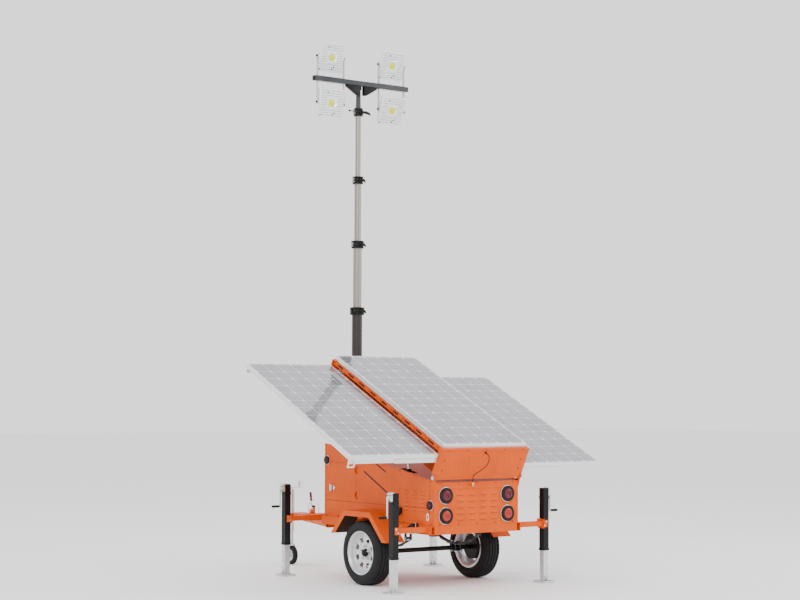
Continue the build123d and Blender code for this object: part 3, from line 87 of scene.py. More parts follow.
def add_area(name, place, target, size, watts):
    data = bpy.data.lights.new(name, "AREA")
    data.shape = "DISK"
    data.size = size
    data.energy = watts
    lamp = bpy.data.objects.new(name, data)
    aim = (Vector(target) - Vector(place)).to_track_quat("-Z", "Y")
    lamp.matrix_world = Matrix.Translation(place) @ aim.to_matrix().to_4x4()
    bpy.context.scene.collection.objects.link(lamp)


def add_world():
    world = bpy.data.worlds.new("pale room")
    world.use_nodes = True
    background = world.node_tree.nodes["Background"]
    background.inputs["Color"].default_value = (1.0, 1.0, 1.0, 1)
    background.inputs["Strength"].default_value = ROOM_STRENGTH
    bpy.context.scene.world = world


add_camera()
add_world()
for lamp in AREA_LAMPS:
    add_area(*lamp)
print("lamps", len(AREA_LAMPS))

# %% [markdown]
# ## Finishes
# Each finish is a small node group built by one helper: a Principled shader, noise in Object coordinates
# for the colour, and a bump. Numbers that are the same all over go straight on the shader, since only
# those survive an export. Object coordinates hold still on every piece, because each one keeps its place
# in its mesh.

# %% The finish helper
def new_finish(name, roughness, metallic=0.0, **sockets):
    """A material with a Principled shader; returns it with its node tree's pieces."""
    material = bpy.data.materials.new(name)
    material.use_nodes = True
    tree = material.node_tree
    shader = tree.nodes["Principled BSDF"]
    shader.inputs["Roughness"].default_value = roughness
    shader.inputs["Metallic"].default_value = metallic
    for socket, value in sockets.items():
        shader.inputs[socket.replace("_", " ")].default_value = value
    place = tree.nodes.new("ShaderNodeTexCoord")
    return material, tree, shader, place.outputs["Object"]


def stretched(tree, vector, scale=(1, 1, 1), turn=(0, 0, 0), shift=(0, 0, 0)):
    mapping = tree.nodes.new("ShaderNodeMapping")
    mapping.vector_type = "TEXTURE" if any(turn) else "POINT"
    mapping.inputs["Location"].default_value = shift
    mapping.inputs["Rotation"].default_value = turn
    mapping.inputs["Scale"].default_value = scale
    tree.links.new(vector, mapping.inputs["Vector"])
    return mapping.outputs["Vector"]


def noise(tree, vector, scale, detail=3.0, rough=0.55):
    node = tree.nodes.new("ShaderNodeTexNoise")
    node.inputs["Scale"].default_value = scale
    node.inputs["Detail"].default_value = detail
    node.inputs["Roughness"].default_value = rough
    tree.links.new(vector, node.inputs["Vector"])
    return node.outputs["Fac"]


def blend_colours(tree, factor, *stops):
    """A colour ramp: stops are (position, colour)."""
    ramp = tree.nodes.new("ShaderNodeValToRGB")
    elements = ramp.color_ramp.elements
    while len(elements) < len(stops):
        elements.new(0.5)
    for element, (position, colour) in zip(elements, stops):
        element.position = position
        element.color = (*colour, 1)
    tree.links.new(factor, ramp.inputs["Fac"])
    return ramp.outputs["Color"]


def add_bump(tree, shader, height, strength, distance):
    bump = tree.nodes.new("ShaderNodeBump")
    bump.inputs["Strength"].default_value = strength
    bump.inputs["Distance"].default_value = distance
    tree.links.new(height, bump.inputs["Height"])
    tree.links.new(bump.outputs["Normal"], shader.inputs["Normal"])


def colour_from(tree, shader, factor, *stops):
    tree.links.new(blend_colours(tree, factor, *stops), shader.inputs["Base Color"])


def roughen(tree, shader, factor, spread, least):
    tree.links.new(maths(tree, "MULTIPLY_ADD", factor, spread, least), shader.inputs["Roughness"])


def mixed(tree, factor, first, second):
    """Mixes two colours; each is a socket or a plain colour."""
    mix = tree.nodes.new("ShaderNodeMix")
    mix.data_type = "RGBA"
    tree.links.new(factor, mix.inputs["Factor"])
    for letter, colour in (("A", first), ("B", second)):
        if isinstance(colour, tuple):
            mix.inputs[letter].default_value = (*colour, 1)
        else:
            tree.links.new(colour, mix.inputs[letter])
    return mix.outputs["Result"]


def cells(tree, place, scale, evenness=1.0):
    node = tree.nodes.new("ShaderNodeTexVoronoi")
    node.inputs["Scale"].default_value = scale
    node.inputs["Randomness"].default_value = evenness
    tree.links.new(place, node.inputs["Vector"])
    return node


def split_axes(tree, vector):
    axes = tree.nodes.new("ShaderNodeSeparateXYZ")
    tree.links.new(vector, axes.inputs["Vector"])
    return axes.outputs


def maths(tree, operation, *values):
    node = tree.nodes.new("ShaderNodeMath")
    node.operation = operation
    for socket, value in zip(node.inputs, values):
        if isinstance(value, (int, float)):
            socket.default_value = value
        else:
            tree.links.new(value, socket)
    return node.outputs[0]


print("finish helpers ready")

# %% [markdown]
# ## Paint, steel and plastic
# Powder coat is never one flat colour. It has a fine orange-peel ripple, it dulls where hands and rain
# touch it, and road dust gathers low on the chassis. The dust is a ramp on height, broken up by noise.

# %% Paints and metals
DUST_MOST = 0.55
WEAR = 0.18


def painted(name, base, dull, roughness, dust=(0.30, 0.20, 0.13), dust_top=0.75):
    material, tree, shader, place = new_finish(
        name, roughness, Specular_IOR_Level=0.16, Coat_Weight=0.03, Coat_Roughness=0.25
    )
    cloud = noise(tree, place, 5.0, 5.0)
    paint = blend_colours(tree, cloud, (0.35, dull), (0.62, base))
    height = maths(tree, "DIVIDE", split_axes(tree, place)["Z"], dust_top)
    low = maths(tree, "SUBTRACT", 1.0, height)
    speckle = noise(tree, place, 38.0, 6.0, 0.7)
    speckle = maths(tree, "MULTIPLY", speckle, DUST_MOST)
    amount = maths(tree, "MULTIPLY", maths(tree, "MAXIMUM", low, 0.0), speckle)
    tree.links.new(mixed(tree, amount, paint, dust), shader.inputs["Base Color"])
    roughen(tree, shader, cloud, WEAR, roughness - WEAR / 2)
    add_bump(tree, shader, noise(tree, place, 420.0, 2.0), 0.10, 0.0006)
    return material


def brushed(name, light, dark, roughness, grain=(1, 1, 60), metallic=1.0, bump=0.06):
    """Drawn or brushed metal: noise pulled out along one direction."""
    material, tree, shader, place = new_finish(name, roughness, metallic)
    lines = noise(tree, stretched(tree, place, grain), 30.0, 4.0, 0.6)
    colour_from(tree, shader, lines, (0.3, dark), (0.7, light))
    roughen(tree, shader, lines, 0.2, roughness - 0.1)
    add_bump(tree, shader, lines, bump, 0.0004)
    return material


def galvanised_finish():
    """Hot-dip zinc: flat crystals of slightly different greys."""
    material, tree, shader, place = new_finish("galvanised zinc", 0.42, 0.85)
    grey = tree.nodes.new("ShaderNodeRGBToBW")
    tree.links.new(cells(tree, place, 95.0).outputs["Color"], grey.inputs["Color"])
    half = maths(tree, "MULTIPLY", grey.outputs[0], 0.5)
    both = maths(tree, "MULTIPLY_ADD", noise(tree, place, 14.0), 0.5, half)
    colour_from(tree, shader, both, (0.25, (0.50, 0.51, 0.53)), (0.75, (0.78, 0.79, 0.80)))
    roughen(tree, shader, both, 0.25, 0.3)
    add_bump(tree, shader, both, 0.08, 0.0005)
    return material


def moulded(name, colour, roughness, scale=900.0, bump=0.25):
    """Moulded plastic or rubber with a fine texture and a few scuffs."""
    material, tree, shader, place = new_finish(name, roughness, Specular_IOR_Level=0.2)
    scuffs = noise(tree, place, 22.0, 6.0, 0.7)
    lighter = tuple(min(1.0, channel * 1.7 + 0.006) for channel in colour)
    colour_from(tree, shader, scuffs, (0.5, colour), (0.85, lighter))
    roughen(tree, shader, scuffs, 0.2, roughness - 0.1)
    add_bump(tree, shader, noise(tree, place, scale, 2.0), bump, 0.0003)
    return material


ORANGE = painted("orange powder coat", (0.68, 0.088, 0.0), (0.61, 0.074, 0.0), 0.5, (0.36, 0.07, 0.01))
SCREW_ORANGE = painted(
    "orange screw heads", (0.42, 0.052, 0.0), (0.36, 0.044, 0.0), 0.5, (0.30, 0.06, 0.01)
)
BLACK_PAINT = painted(
    "black chassis paint", (0.004, 0.004, 0.005), (0.008, 0.008, 0.009), 0.42, (0.025, 0.022, 0.020)
)
GREY_PAINT = painted("cross bar grey", (0.055, 0.057, 0.062), (0.04, 0.042, 0.045), 0.40)
WHITE_COAT = painted("white lamp coat", (0.82, 0.83, 0.85), (0.74, 0.75, 0.78), 0.35, (0.8, 0.8, 0.8))
GALVANISED = galvanised_finish()
RIM_SILVER = brushed("silver wheel paint", (0.72, 0.73, 0.75), (0.60, 0.61, 0.63), 0.36, (3, 3, 3), 0.6)
MAST_ANODISED = brushed(
    "bronze anodised tube", (0.32, 0.285, 0.255), (0.25, 0.22, 0.20), 0.36, (60, 60, 1), 0.75
)
MAST_DARK = brushed(
    "dark anodised tube", (0.050, 0.040, 0.037), (0.032, 0.026, 0.025), 0.34, (60, 60, 1), 0.7
)
ALUMINIUM = brushed("extruded aluminium", (0.86, 0.87, 0.88), (0.74, 0.75, 0.77), 0.34, (2, 60, 60), 0.75)
SPRING_STEEL = brushed("spring steel", (0.09, 0.09, 0.10), (0.04, 0.04, 0.045), 0.5, (60, 2, 60), 0.6)
ZINC_BOLT = brushed("zinc plated bolt", (0.72, 0.72, 0.74), (0.5, 0.5, 0.52), 0.3, (20, 20, 20), 1.0)
BRASS = brushed("gland brass", (0.80, 0.58, 0.24), (0.62, 0.42, 0.15), 0.3, (20, 20, 20), 1.0)
BLACK_PLASTIC = moulded("black moulded plastic", (0.006, 0.006, 0.007), 0.45)
RUBBER = moulded("black rubber", (0.011, 0.011, 0.012), 0.66, 500.0, 0.4)
GRIP_RED = moulded("dark red grip", (0.16, 0.015, 0.02), 0.45)
BATTERY = moulded("battery case", (0.03, 0.035, 0.05), 0.45)
CABLE_SKIN = moulded("cable sheath", (0.03, 0.018, 0.012), 0.5, 700.0, 0.2)
print("plain finishes", len(bpy.data.materials))

# %% [markdown]
# ## Solar glass
# A module is a grid of square wafers with clipped corners on a white sheet, under glass. The clipped
# corners are what makes the white diamonds. The grid is worked out from the tray's own axes: the mapping
# turns the coordinates by the tray's tilt, so one cell is the same size everywhere on the slope.

# %% The wafers
TILT = math.radians(25.6)
CELL = 0.1585
CELL_GAP = 0.0035
CORNER_CUT = 0.895
BUSBAR_PITCH = 0.0528
BUSBAR_HALF = 0.018
FIRST_CELL = 0.0464
WHOLE_CELLS_X, WHOLE_CELLS_Y = 13, 10
SILICON_DARK, SILICON_LIGHT = (0.150, 0.148, 0.175), (0.205, 0.203, 0.235)
BUSBAR_SILVER = (0.62, 0.62, 0.65)
BACK_WHITE = (0.72, 0.73, 0.76)


def module_finish(name, centre_x, rear_edge):
    """Wafers counted from the module's centre line (x) and from the tray's hinge line (along the slope)."""
    material, tree, shader, place = new_finish(name, 0.12, 0.0, Coat_Weight=1.0, Coat_Roughness=0.03)
    axes = split_axes(tree, stretched(tree, place, turn=(TILT, 0, 0), shift=rear_edge))

    def cell_position(coordinate, offset):
        steps = maths(tree, "DIVIDE", maths(tree, "ADD", coordinate, offset), CELL)
        return maths(tree, "SUBTRACT", maths(tree, "FRACT", steps), 0.5)

    far_x = maths(tree, "ABSOLUTE", cell_position(axes["X"], WHOLE_CELLS_X * CELL - centre_x))
    far_y = maths(tree, "ABSOLUTE", cell_position(axes["Y"], WHOLE_CELLS_Y * CELL - FIRST_CELL))
    edge = 0.5 - CELL_GAP / CELL / 2
    inside_square = maths(tree, "LESS_THAN", maths(tree, "MAXIMUM", far_x, far_y), edge)
    inside_corner = maths(tree, "LESS_THAN", maths(tree, "ADD", far_x, far_y), CORNER_CUT)
    wafer = maths(tree, "MULTIPLY", inside_square, inside_corner)
    bars = maths(tree, "DIVIDE", maths(tree, "ADD", axes["X"], 20.0), BUSBAR_PITCH)
    off_bar = maths(tree, "ABSOLUTE", maths(tree, "SUBTRACT", maths(tree, "FRACT", bars), 0.5))
    busbar = maths(tree, "MULTIPLY", maths(tree, "LESS_THAN", off_bar, BUSBAR_HALF), 0.55)
    silicon = blend_colours(tree, noise(tree, place, 3.2, 2.0), (0.3, SILICON_DARK), (0.7, SILICON_LIGHT))
    sheet = mixed(tree, wafer, BACK_WHITE, mixed(tree, busbar, silicon, BUSBAR_SILVER))
    tree.links.new(sheet, shader.inputs["Base Color"])
    return material


def hinge_point():
    return Vector(joints["tray_tilt"]["pos_m"])


print("tray hinge", [round(value, 3) for value in hinge_point()])

# %% [markdown]
# ## Lenses and the lamps' chips
# Lens plastic is pressed in small prisms, and regular cells of noise give the same sparkle for less work
# than real prisms would. The chip is dull yellow, since nothing is switched on.

# %% Coloured lenses and chips
def lens_finish(name, bright, deep):
    """Pressed lens plastic: rings and cells catch the light."""
    material, tree, shader, place = new_finish(name, 0.16, 0.0, Specular_IOR_Level=0.35)
    prism = cells(tree, place, 150.0, 0.15).outputs["Distance"]
    colour_from(tree, shader, prism, (0.1, bright), (0.6, deep))
    add_bump(tree, shader, prism, 0.4, 0.001)
    return material


def chip_finish():
    """The phosphor of a floodlight's chip: yellow, mottled by fine noise."""
    material, tree, shader, place = new_finish("lamp phosphor", 0.35)
    dots = noise(tree, place, 160.0, 3.0)
    colour_from(tree, shader, dots, (0.3, (0.60, 0.60, 0.0)), (0.7, (0.72, 0.70, 0.02)))
    add_bump(tree, shader, dots, 0.2, 0.0004)
    return material


RED_LENS = lens_finish("red lens", (0.22, 0.002, 0.018), (0.05, 0.0005, 0.004))
AMBER_LENS = lens_finish("orange-red lens", (0.50, 0.035, 0.012), (0.26, 0.010, 0.003))
CHIP = chip_finish()
MIRROR_CUP = brushed(
    "reflector cup", (0.92, 0.92, 0.90), (0.84, 0.84, 0.82), 0.22, (10, 10, 10), 0.55, 0.02
)
print("all finishes", len(bpy.data.materials))

# %% [markdown]
# ## Finishes for the engineering model's own parts
# The engineering parts are shown wherever they are already good enough: beams, tubes, brackets and
# plates. They stay as they are and only get a finish. The three solar modules share one recipe but count
# their wafers from their own edges, so each has its own material.

# %% Dress the engineering parts
def dress(names, material):
    for name in names:
        mesh = frame["nodes"][name].data
        mesh.materials.clear()
        mesh.materials.append(material)


def slot_of(name):
    return frame["nodes"][name].data.materials[0].name.split(".")[0]


FINISH_OF_SLOT = {
    "orange_paint": ORANGE, "black_paint": BLACK_PAINT, "galvanised": GALVANISED,
    "spring_steel": SPRING_STEEL,
    "tyre": RUBBER, "rubber": RUBBER, "rim_silver": RIM_SILVER, "mast_anodised": MAST_ANODISED,
    "mast_dark": MAST_DARK, "bar_paint": GREY_PAINT, "lamp_white": WHITE_COAT, "rail_aluminium": ALUMINIUM,
    "lens_red": RED_LENS, "lens_amber": AMBER_LENS, "black_plastic": BLACK_PLASTIC, "battery_case": BATTERY,
}
modules = {}
for name in sorted(frame["nodes"]):
    slot = slot_of(name)
    if slot == "solar_glass":
        low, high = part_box(name)
        rear_edge = (0, hinge_point().y, hinge_point().z)
        modules[name] = module_finish(name + " glass", (low.x + high.x) / 2, rear_edge)
        dress([name], modules[name])
    else:
        dress([name], FINISH_OF_SLOT[slot])
print("dressed", len(frame["nodes"]), "parts;", len(modules), "solar modules")

# %% [markdown]
# ## A pale floor
# The floor is a stage, not a piece: large, plain and nearly white, so that the shadows under the trailer
# tell where the wheels and the jack feet stand.

# %% Floor
FLOOR_HALF = 60


def add_floor():
    shape = bmesh.new()
    bmesh.ops.create_grid(shape, x_segments=1, y_segments=1, size=FLOOR_HALF)
    mesh = bpy.data.meshes.new("floor")
    shape.to_mesh(mesh)
    shape.free()
    floor = bpy.data.objects.new("floor", mesh)
    bpy.context.scene.collection.objects.link(floor)
    material, tree, shader, place = new_finish("pale floor", 0.9)
    colour_from(tree, shader, noise(tree, place, 0.3), (0.3, (0.90, 0.90, 0.90)), (0.7, (0.93, 0.93, 0.93)))
    mesh.materials.append(material)


add_floor()

# %% [markdown]
# ## Helpers for new pieces
# Sheet metal, bars and turned parts come up again and again, so a few short helpers make them from bmesh
# operators: a block with bevelled edges, a round bar between two points, a profile spun about an axis, a
# flat outline with a thickness, and a rod bent along a smooth curve. Places are given in metres from the
# point on the ground under the axle, which is how a trailer is measured.

# %% Blocks, bars and lathe work
AXLE_Y = joints["wheel_left_spin"]["pos_m"][1]
SMOOTH_UNDER = math.radians(38)
MERGE = 1e-6
SIDES = (("left", -1), ("right", 1))


def at(x, y, z):
    return Vector((x, y + AXLE_Y, z))


def round_edges(shape, edges, offset, segments=2):
    bmesh.ops.bevel(
        shape, geom=edges, offset=offset, segments=segments, affect="EDGES", profile=0.5, material=-1
    )


def faces_since(shape, before, index):
    """The faces made since then, in one material slot."""
    new = [face for face in shape.faces if face not in before]
    for face in new:
        face.material_index = index
    return new


def add_block(shape, corner, opposite, bevel=0.0, segments=2, index=0):
    """A block between any two opposite corners, with rounded edges."""
    low = Vector(map(min, corner, opposite))
    high = Vector(map(max, corner, opposite))
    place = Matrix.Translation((low + high) / 2) @ Matrix.Diagonal((*(high - low), 1))
    before = set(shape.faces)
    made = bmesh.ops.create_cube(shape, size=1, matrix=place)
    if bevel:
        edges = list({edge for vert in made["verts"] for edge in vert.link_edges})
        round_edges(shape, edges, bevel, segments)
    return faces_since(shape, before, index)


def add_bar(shape, start, end, radius, end_radius=None, bevel=0.0, segments=24, index=0):
    """A round bar, or a cone, between two points; bevel rounds its two rims."""
    start, end = Vector(start), Vector(end)
    along = end - start
    place = Matrix.Translation((start + end) / 2) @ along.to_track_quat("Z", "Y").to_matrix().to_4x4()
    before = set(shape.faces)
    far = radius if end_radius is None else end_radius
    bmesh.ops.create_cone(
        shape, cap_ends=True, segments=segments, radius1=radius, radius2=far, depth=along.length, matrix=place
    )
    if bevel:
        caps = [face for face in shape.faces if face not in before and len(face.verts) > 4]
        round_edges(shape, list({edge for face in caps for edge in face.edges}), bevel)
    return faces_since(shape, before, index)


def add_turned(shape, profile, centre, axis, segments=64, closed=False, index=0):
    """Spins a profile of (radius, distance along the axis) once round the axis through the centre."""
    before_faces, before_verts = set(shape.faces), set(shape.verts)
    verts = [shape.verts.new((radius, 0, along)) for radius, along in profile]
    pairs = list(zip(verts, verts[1:])) + ([(verts[-1], verts[0])] if closed else [])
    edges = [shape.edges.new(pair) for pair in pairs]
    bmesh.ops.spin(
        shape, geom=verts + edges, cent=(0, 0, 0), axis=(0, 0, 1), angle=2 * math.pi, steps=segments,
        use_merge=True,
    )
    new_verts = [vert for vert in shape.verts if vert not in before_verts]
    bmesh.ops.remove_doubles(shape, verts=new_verts, dist=MERGE)
    new_verts = [vert for vert in shape.verts if vert not in before_verts]
    turn = Vector(axis).to_track_quat("Z", "Y").to_matrix().to_4x4()
    bmesh.ops.transform(shape, matrix=Matrix.Translation(centre) @ turn, verts=new_verts)
    return faces_since(shape, before_faces, index)


def add_plate(shape, outline, thickness, bevel=0.0, index=0):
    """A flat outline pulled out by the thickness vector."""
    before = set(shape.faces)
    face = shape.faces.new([shape.verts.new(point) for point in outline])
    made = bmesh.ops.extrude_face_region(shape, geom=[face])
    moved = [item for item in made["geom"] if isinstance(item, bmesh.types.BMVert)]
    bmesh.ops.translate(shape, verts=moved, vec=Vector(thickness))
    if bevel:
        plate = faces_since(shape, before, index)
        round_edges(shape, list({edge for face in plate for edge in face.edges}), bevel)
    return faces_since(shape, before, index)


def finish_piece(name, shape, body, slot, *materials, place=None):
    """Closes a bmesh into an object that rides on a body."""
    if place is not None:
        bmesh.ops.transform(shape, matrix=place, verts=shape.verts)
    bmesh.ops.recalc_face_normals(shape, faces=shape.faces)
    mesh = bpy.data.meshes.new(name)
    shape.to_mesh(mesh)
    shape.free()
    mesh.shade_smooth()
    mesh.set_sharp_from_angle(angle=SMOOTH_UNDER)
    for material in materials:
        mesh.materials.append(material)
    piece = bpy.data.objects.new(name, mesh)
    bpy.context.scene.collection.objects.link(piece)
    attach(piece, body)
    return piece


def smooth_line(name, points, radius, around, steps, closed=False):
    """A round rod along a smooth curve, as a curve object."""
    curve = bpy.data.curves.new(name, "CURVE")
    curve.dimensions = "3D"
    curve.bevel_depth = radius
    curve.bevel_resolution = around
    curve.resolution_u = steps
    curve.use_fill_caps = not closed
    spline = curve.splines.new("NURBS")
    spline.points.add(len(points) - 1)
    for control, point in zip(spline.points, points):
        control.co = (*point, 1)
    spline.order_u = 3
    spline.use_cyclic_u = closed
    spline.use_endpoint_u = not closed
    line = bpy.data.objects.new(name, curve)
    bpy.context.scene.collection.objects.link(line)
    return line


def bent_rod(name, points, radius, body, slot, material, closed=False):
    """A bar or wire bent along points, turned into a mesh."""
    holder = smooth_line(name + "_line", points, radius, 4, 8, closed)
    bpy.context.view_layer.update()
    shape = bmesh.new()
    mesh = bpy.data.meshes.new_from_object(holder.evaluated_get(bpy.context.evaluated_depsgraph_get()))
    shape.from_mesh(mesh)
    bpy.data.objects.remove(holder)
    bmesh.ops.remove_doubles(shape, verts=shape.verts, dist=MERGE)
    return finish_piece(name, shape, body, slot, material)


print("axle at y", round(AXLE_Y, 4))

# %% [markdown]
# ## The tray cable
# A short jumper cable leaves the tray's rear wall, loops down through the air and goes into a brass gland
# just behind the cabinet's rear wall. It is a real length of a soft tube, so it is one smooth curve
# through a few listed points. It is thick enough to fall in one easy bend, and it rides on the
# cabinet.

# %% Cable from the tray to the cabinet
CABLE_DIAMETER = 0.008
CABLE_POINTS = [
    at(-0.002, -0.9869, 1.2699), at(-0.002, -1.0173, 1.2554), at(-0.004, -1.033, 1.226),
    at(-0.010, -1.033, 1.192), at(-0.022, -1.019, 1.160), at(-0.038, -0.994, 1.132),
    at(-0.054, -0.963, 1.108), at(-0.067, -0.930, 1.088), at(-0.076, -0.901, 1.068),
    at(-0.079, -0.886, 1.048), at(-0.080, -0.882, 1.022), at(-0.080, -0.882, 0.996),
]


def tray_cable():
    cable = smooth_line("tray_cable_sheath", CABLE_POINTS, CABLE_DIAMETER / 2, 5, 12)
    cable.data.materials.append(CABLE_SKIN)
    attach(cable, "chassis")
    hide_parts("tray_cable")


tray_cable()
print("cable points", len(CABLE_POINTS))

# %% [markdown]
# ## Wheels
# A trailer tyre is a closed ring with a flat tread, a rounded shoulder and a bulging side. It is turned
# like clay on a wheel: one outline, spun about the axle. Four tread grooves are part of the outline, and
# every other shoulder face is pulled out afterwards for the lugs, which a turned shape alone can't have.

# %% Tyre
BEAD_RADIUS = 0.199
TREAD_STEPS = 96


def both_halves(half):
    """An outline and its mirror on the other side of the wheel's middle."""
    return half + [(radius, -along) for radius, along in reversed(half)]


def tyre_outline():
    half = [
        (BEAD_RADIUS, 0.074), (0.2075, 0.082), (0.216, 0.0905), (0.230, 0.0945), (0.2325, 0.0965),
        (0.237, 0.0968),
        (0.2395, 0.0955), (0.255, 0.0970), (0.270, 0.0955), (0.285, 0.0900), (0.2955, 0.0805),
        (0.3010, 0.0690),
        (0.3035, 0.0560), (0.2965, 0.0545), (0.2965, 0.0465), (0.3050, 0.0450), (0.3062, 0.0210),
        (0.2985, 0.0195), (0.2985, 0.0115), (0.3070, 0.0100),
    ]
    return both_halves(half)


def add_lugs(shape, faces, hub):
    """Pulls every second pair of shoulder faces out, away from the axle line."""
    for face in faces:
        middle = face.calc_center_median() - hub
        radius = math.hypot(middle.y, middle.z)
        if not (0.292 < radius < 0.3025 and abs(middle.x) > 0.06):
            continue
        step = int((math.atan2(middle.z, middle.y) / (2 * math.pi) + 1) * TREAD_STEPS + 0.5)
        if step % 2:
            made = bmesh.ops.extrude_discrete_faces(shape, faces=[face])
            lift = Vector((0, middle.y, middle.z)).normalized() * 0.0035
            bmesh.ops.translate(shape, verts=list(made["faces"][0].verts), vec=lift)


def add_tyre(side, body):
    hub = Vector(joints[body + "_spin"]["pos_m"])
    shape = bmesh.new()
    faces = add_turned(shape, tyre_outline(), hub, (1, 0, 0), TREAD_STEPS, closed=True)
    bmesh.ops.recalc_face_normals(shape, faces=shape.faces)
    add_lugs(shape, faces, hub)
    tyre = finish_piece(body + "_tyre", shape, body, "tyre", RUBBER)
    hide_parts("tyre_" + side)
    return tyre


tyres = [add_tyre(side, "wheel_" + side) for side in ("left", "right")]
print("tyre faces", len(tyres[0].data.polygons))

# %% [markdown]
# ## Rims
# A steel wheel is pressed from sheet: a stepped barrel that carries the tyre, and a dished disc with
# windows. The barrel is turned, and the dish is bridged from ring to ring. The windows are real holes,
# because some of its faces are taken out before it gets its thickness, so light passes through. Cap and
# nuts go on top.

# %% Rim, windows, cap and nuts
RIM_STEPS = 64
WINDOW_COUNT = 8
WINDOW_LOW, WINDOW_HIGH = 0.104, 0.148
DISC_RINGS = [
    (0.176, 0.030), (0.160, 0.036), (0.148, 0.040), (0.104, 0.034), (0.088, 0.028), (0.040, 0.026)
]
DISC_SHEET = 0.004
NUT_COUNT, NUT_CIRCLE = 5, 0.062
CAP_OUTLINE = [
    (0.0, 0.062), (0.012, 0.0615), (0.024, 0.058), (0.031, 0.052), (0.0345, 0.044), (0.035, 0.028), (
        0.041, 0.026
    )
]
DRUM_OUTLINE = [
    (0.0, -0.046), (0.115, -0.046), (0.122, -0.040), (0.122, 0.004), (0.116, 0.010), (0.0, 0.012)
]


def rim_outline(side):
    """Radius and distance from the wheel's middle, from the inner flange to the outer one and back inside."""
    outer = [
        (0.2075, 0.0860), (0.2085, 0.0895), (0.2060, 0.0920), (0.2010, 0.0915), (0.1985, 0.0860),
        (0.1930, 0.0790),
        (0.1880, 0.0700), (0.1830, 0.0560), (0.1790, 0.0360), (0.1740, 0.0300),
    ]
    inner = [(0.1740, -0.0700), (0.1985, -0.0860), (0.2075, -0.0860), (0.1995, -0.0740), (0.1850, -0.0660)]
    back = [(0.1780, 0.0200), (0.1950, 0.0660)]
    return [(radius, side * along) for radius, along in outer + inner + back]


def add_disc(shape, hub, side):
    """The dish: rings joined face by face, with gaps where the windows are."""
    rings = []
    for radius, along in DISC_RINGS:
        centre = hub + Vector((side * along, 0, 0))
        place = Matrix.Translation(centre) @ Matrix.Rotation(math.pi / 2, 4, "Y")
        made = bmesh.ops.create_circle(
            shape, cap_ends=False, segments=RIM_STEPS, radius=radius, matrix=place
        )
        rings.append({edge for vert in made["verts"] for edge in vert.link_edges})
    disc = []
    for outer, inner in zip(rings, rings[1:]):
        disc += bmesh.ops.bridge_loops(shape, edges=list(outer | inner))["faces"]
    holes = []
    for face in disc:
        middle = face.calc_center_median() - hub
        radius = math.hypot(middle.y, middle.z)
        turn = (math.atan2(middle.z, middle.y) / (2 * math.pi) * WINDOW_COUNT) % 1
        if WINDOW_LOW < radius < WINDOW_HIGH and 0.26 < turn < 0.74:
            holes.append(face)
    bmesh.ops.delete(shape, geom=holes, context="FACES")
    kept = [face for face in disc if face.is_valid]
    bmesh.ops.recalc_face_normals(shape, faces=kept)
    bmesh.ops.solidify(shape, geom=kept, thickness=DISC_SHEET)


def add_rim(side_name, body, side):
    hub = Vector(joints[body + "_spin"]["pos_m"])
    shape = bmesh.new()
    add_turned(shape, rim_outline(side), hub, (1, 0, 0), RIM_STEPS, closed=True)
    rim = finish_piece(body + "_rim", shape, body, "rim_silver", RIM_SILVER)
    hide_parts("rim_" + side_name)
    disc_shape = bmesh.new()
    add_disc(disc_shape, hub, side)
    for index in range(NUT_COUNT):
        angle = math.tau * index / NUT_COUNT + math.pi / 2
        foot = hub + Vector((side * 0.028, NUT_CIRCLE * math.cos(angle), NUT_CIRCLE * math.sin(angle)))
        tip = foot + Vector((side * 0.016, 0, 0))
        add_bar(disc_shape, foot, tip, 0.0115, segments=6, bevel=0.0015, index=1)
        add_bar(
            disc_shape, tip, tip + Vector((side * 0.008, 0, 0)), 0.006, segments=16, bevel=0.001, index=1
        )
    finish_piece(body + "_disc", disc_shape, body, "rim_silver", RIM_SILVER, ZINC_BOLT)
    for part, outline, material in (
        ("_cap", CAP_OUTLINE, BLACK_PLASTIC), ("_drum", DRUM_OUTLINE, BLACK_PAINT)
    ):
        turned = bmesh.new()
        add_turned(turned, [(radius, side * along) for radius, along in outline], hub, (1, 0, 0), 48)
        finish_piece(body + part, turned, body, "rim_silver", material)


for side_name, side in SIDES:
    add_rim(side_name, "wheel_" + side_name, side)
print("rims done")

# %% [markdown]
# ## Pressed louvres
# The vents are pressed out of the wall sheet: each is a shallow hood, flush at its top edge and open
# below. A hood could be a boolean cut, but a small bevelled wedge reads the same and stays a few dozen
# faces, so dozens of them cost little; its closed mouth is painted black as the shade inside the vent.
# One function lays a grid of them on any flat wall.

# %% Louvres
WALL = 0.506
REAR_Y = -0.842
HOOD_DEPTH = 0.009
HOOD_TALL = 0.026


def add_louvre(shape, centre, across, outward, wide):
    """One hood: its top edge lies in the wall and its bottom edge stands out."""
    up = Vector((0, 0, 1))
    corner = {}
    for along in (-1, 1):
        for level, depth in ((1, 0.0), (-1, HOOD_DEPTH), (-1, 0.0)):
            inset = 0.82 if depth else 1.0
            point = centre + across * (along * wide / 2 * inset) + outward * depth
            point += up * (level * HOOD_TALL / 2)
            corner[along, level, depth > 0] = shape.verts.new(point)
    a, b, c = corner[-1, 1, False], corner[-1, -1, True], corner[-1, -1, False]
    d, e, f = corner[1, 1, False], corner[1, -1, True], corner[1, -1, False]
    top = shape.faces.new((a, b, e, d))
    sides = [shape.faces.new((a, c, b)), shape.faces.new((d, e, f))]
    # The mouth closes the vent's opening; its black is painted shade, the dark inside of the vent.
    mouth = shape.faces.new((b, c, f, e))
    mouth.material_index = 1
    shape.normal_update()
    if top.normal.dot(outward) < 0:
        bmesh.ops.reverse_faces(shape, faces=[top, mouth] + sides)
    soft = [edge for edge in top.edges if d not in edge.verts or a not in edge.verts]
    round_edges(shape, soft, 0.0035, 3)


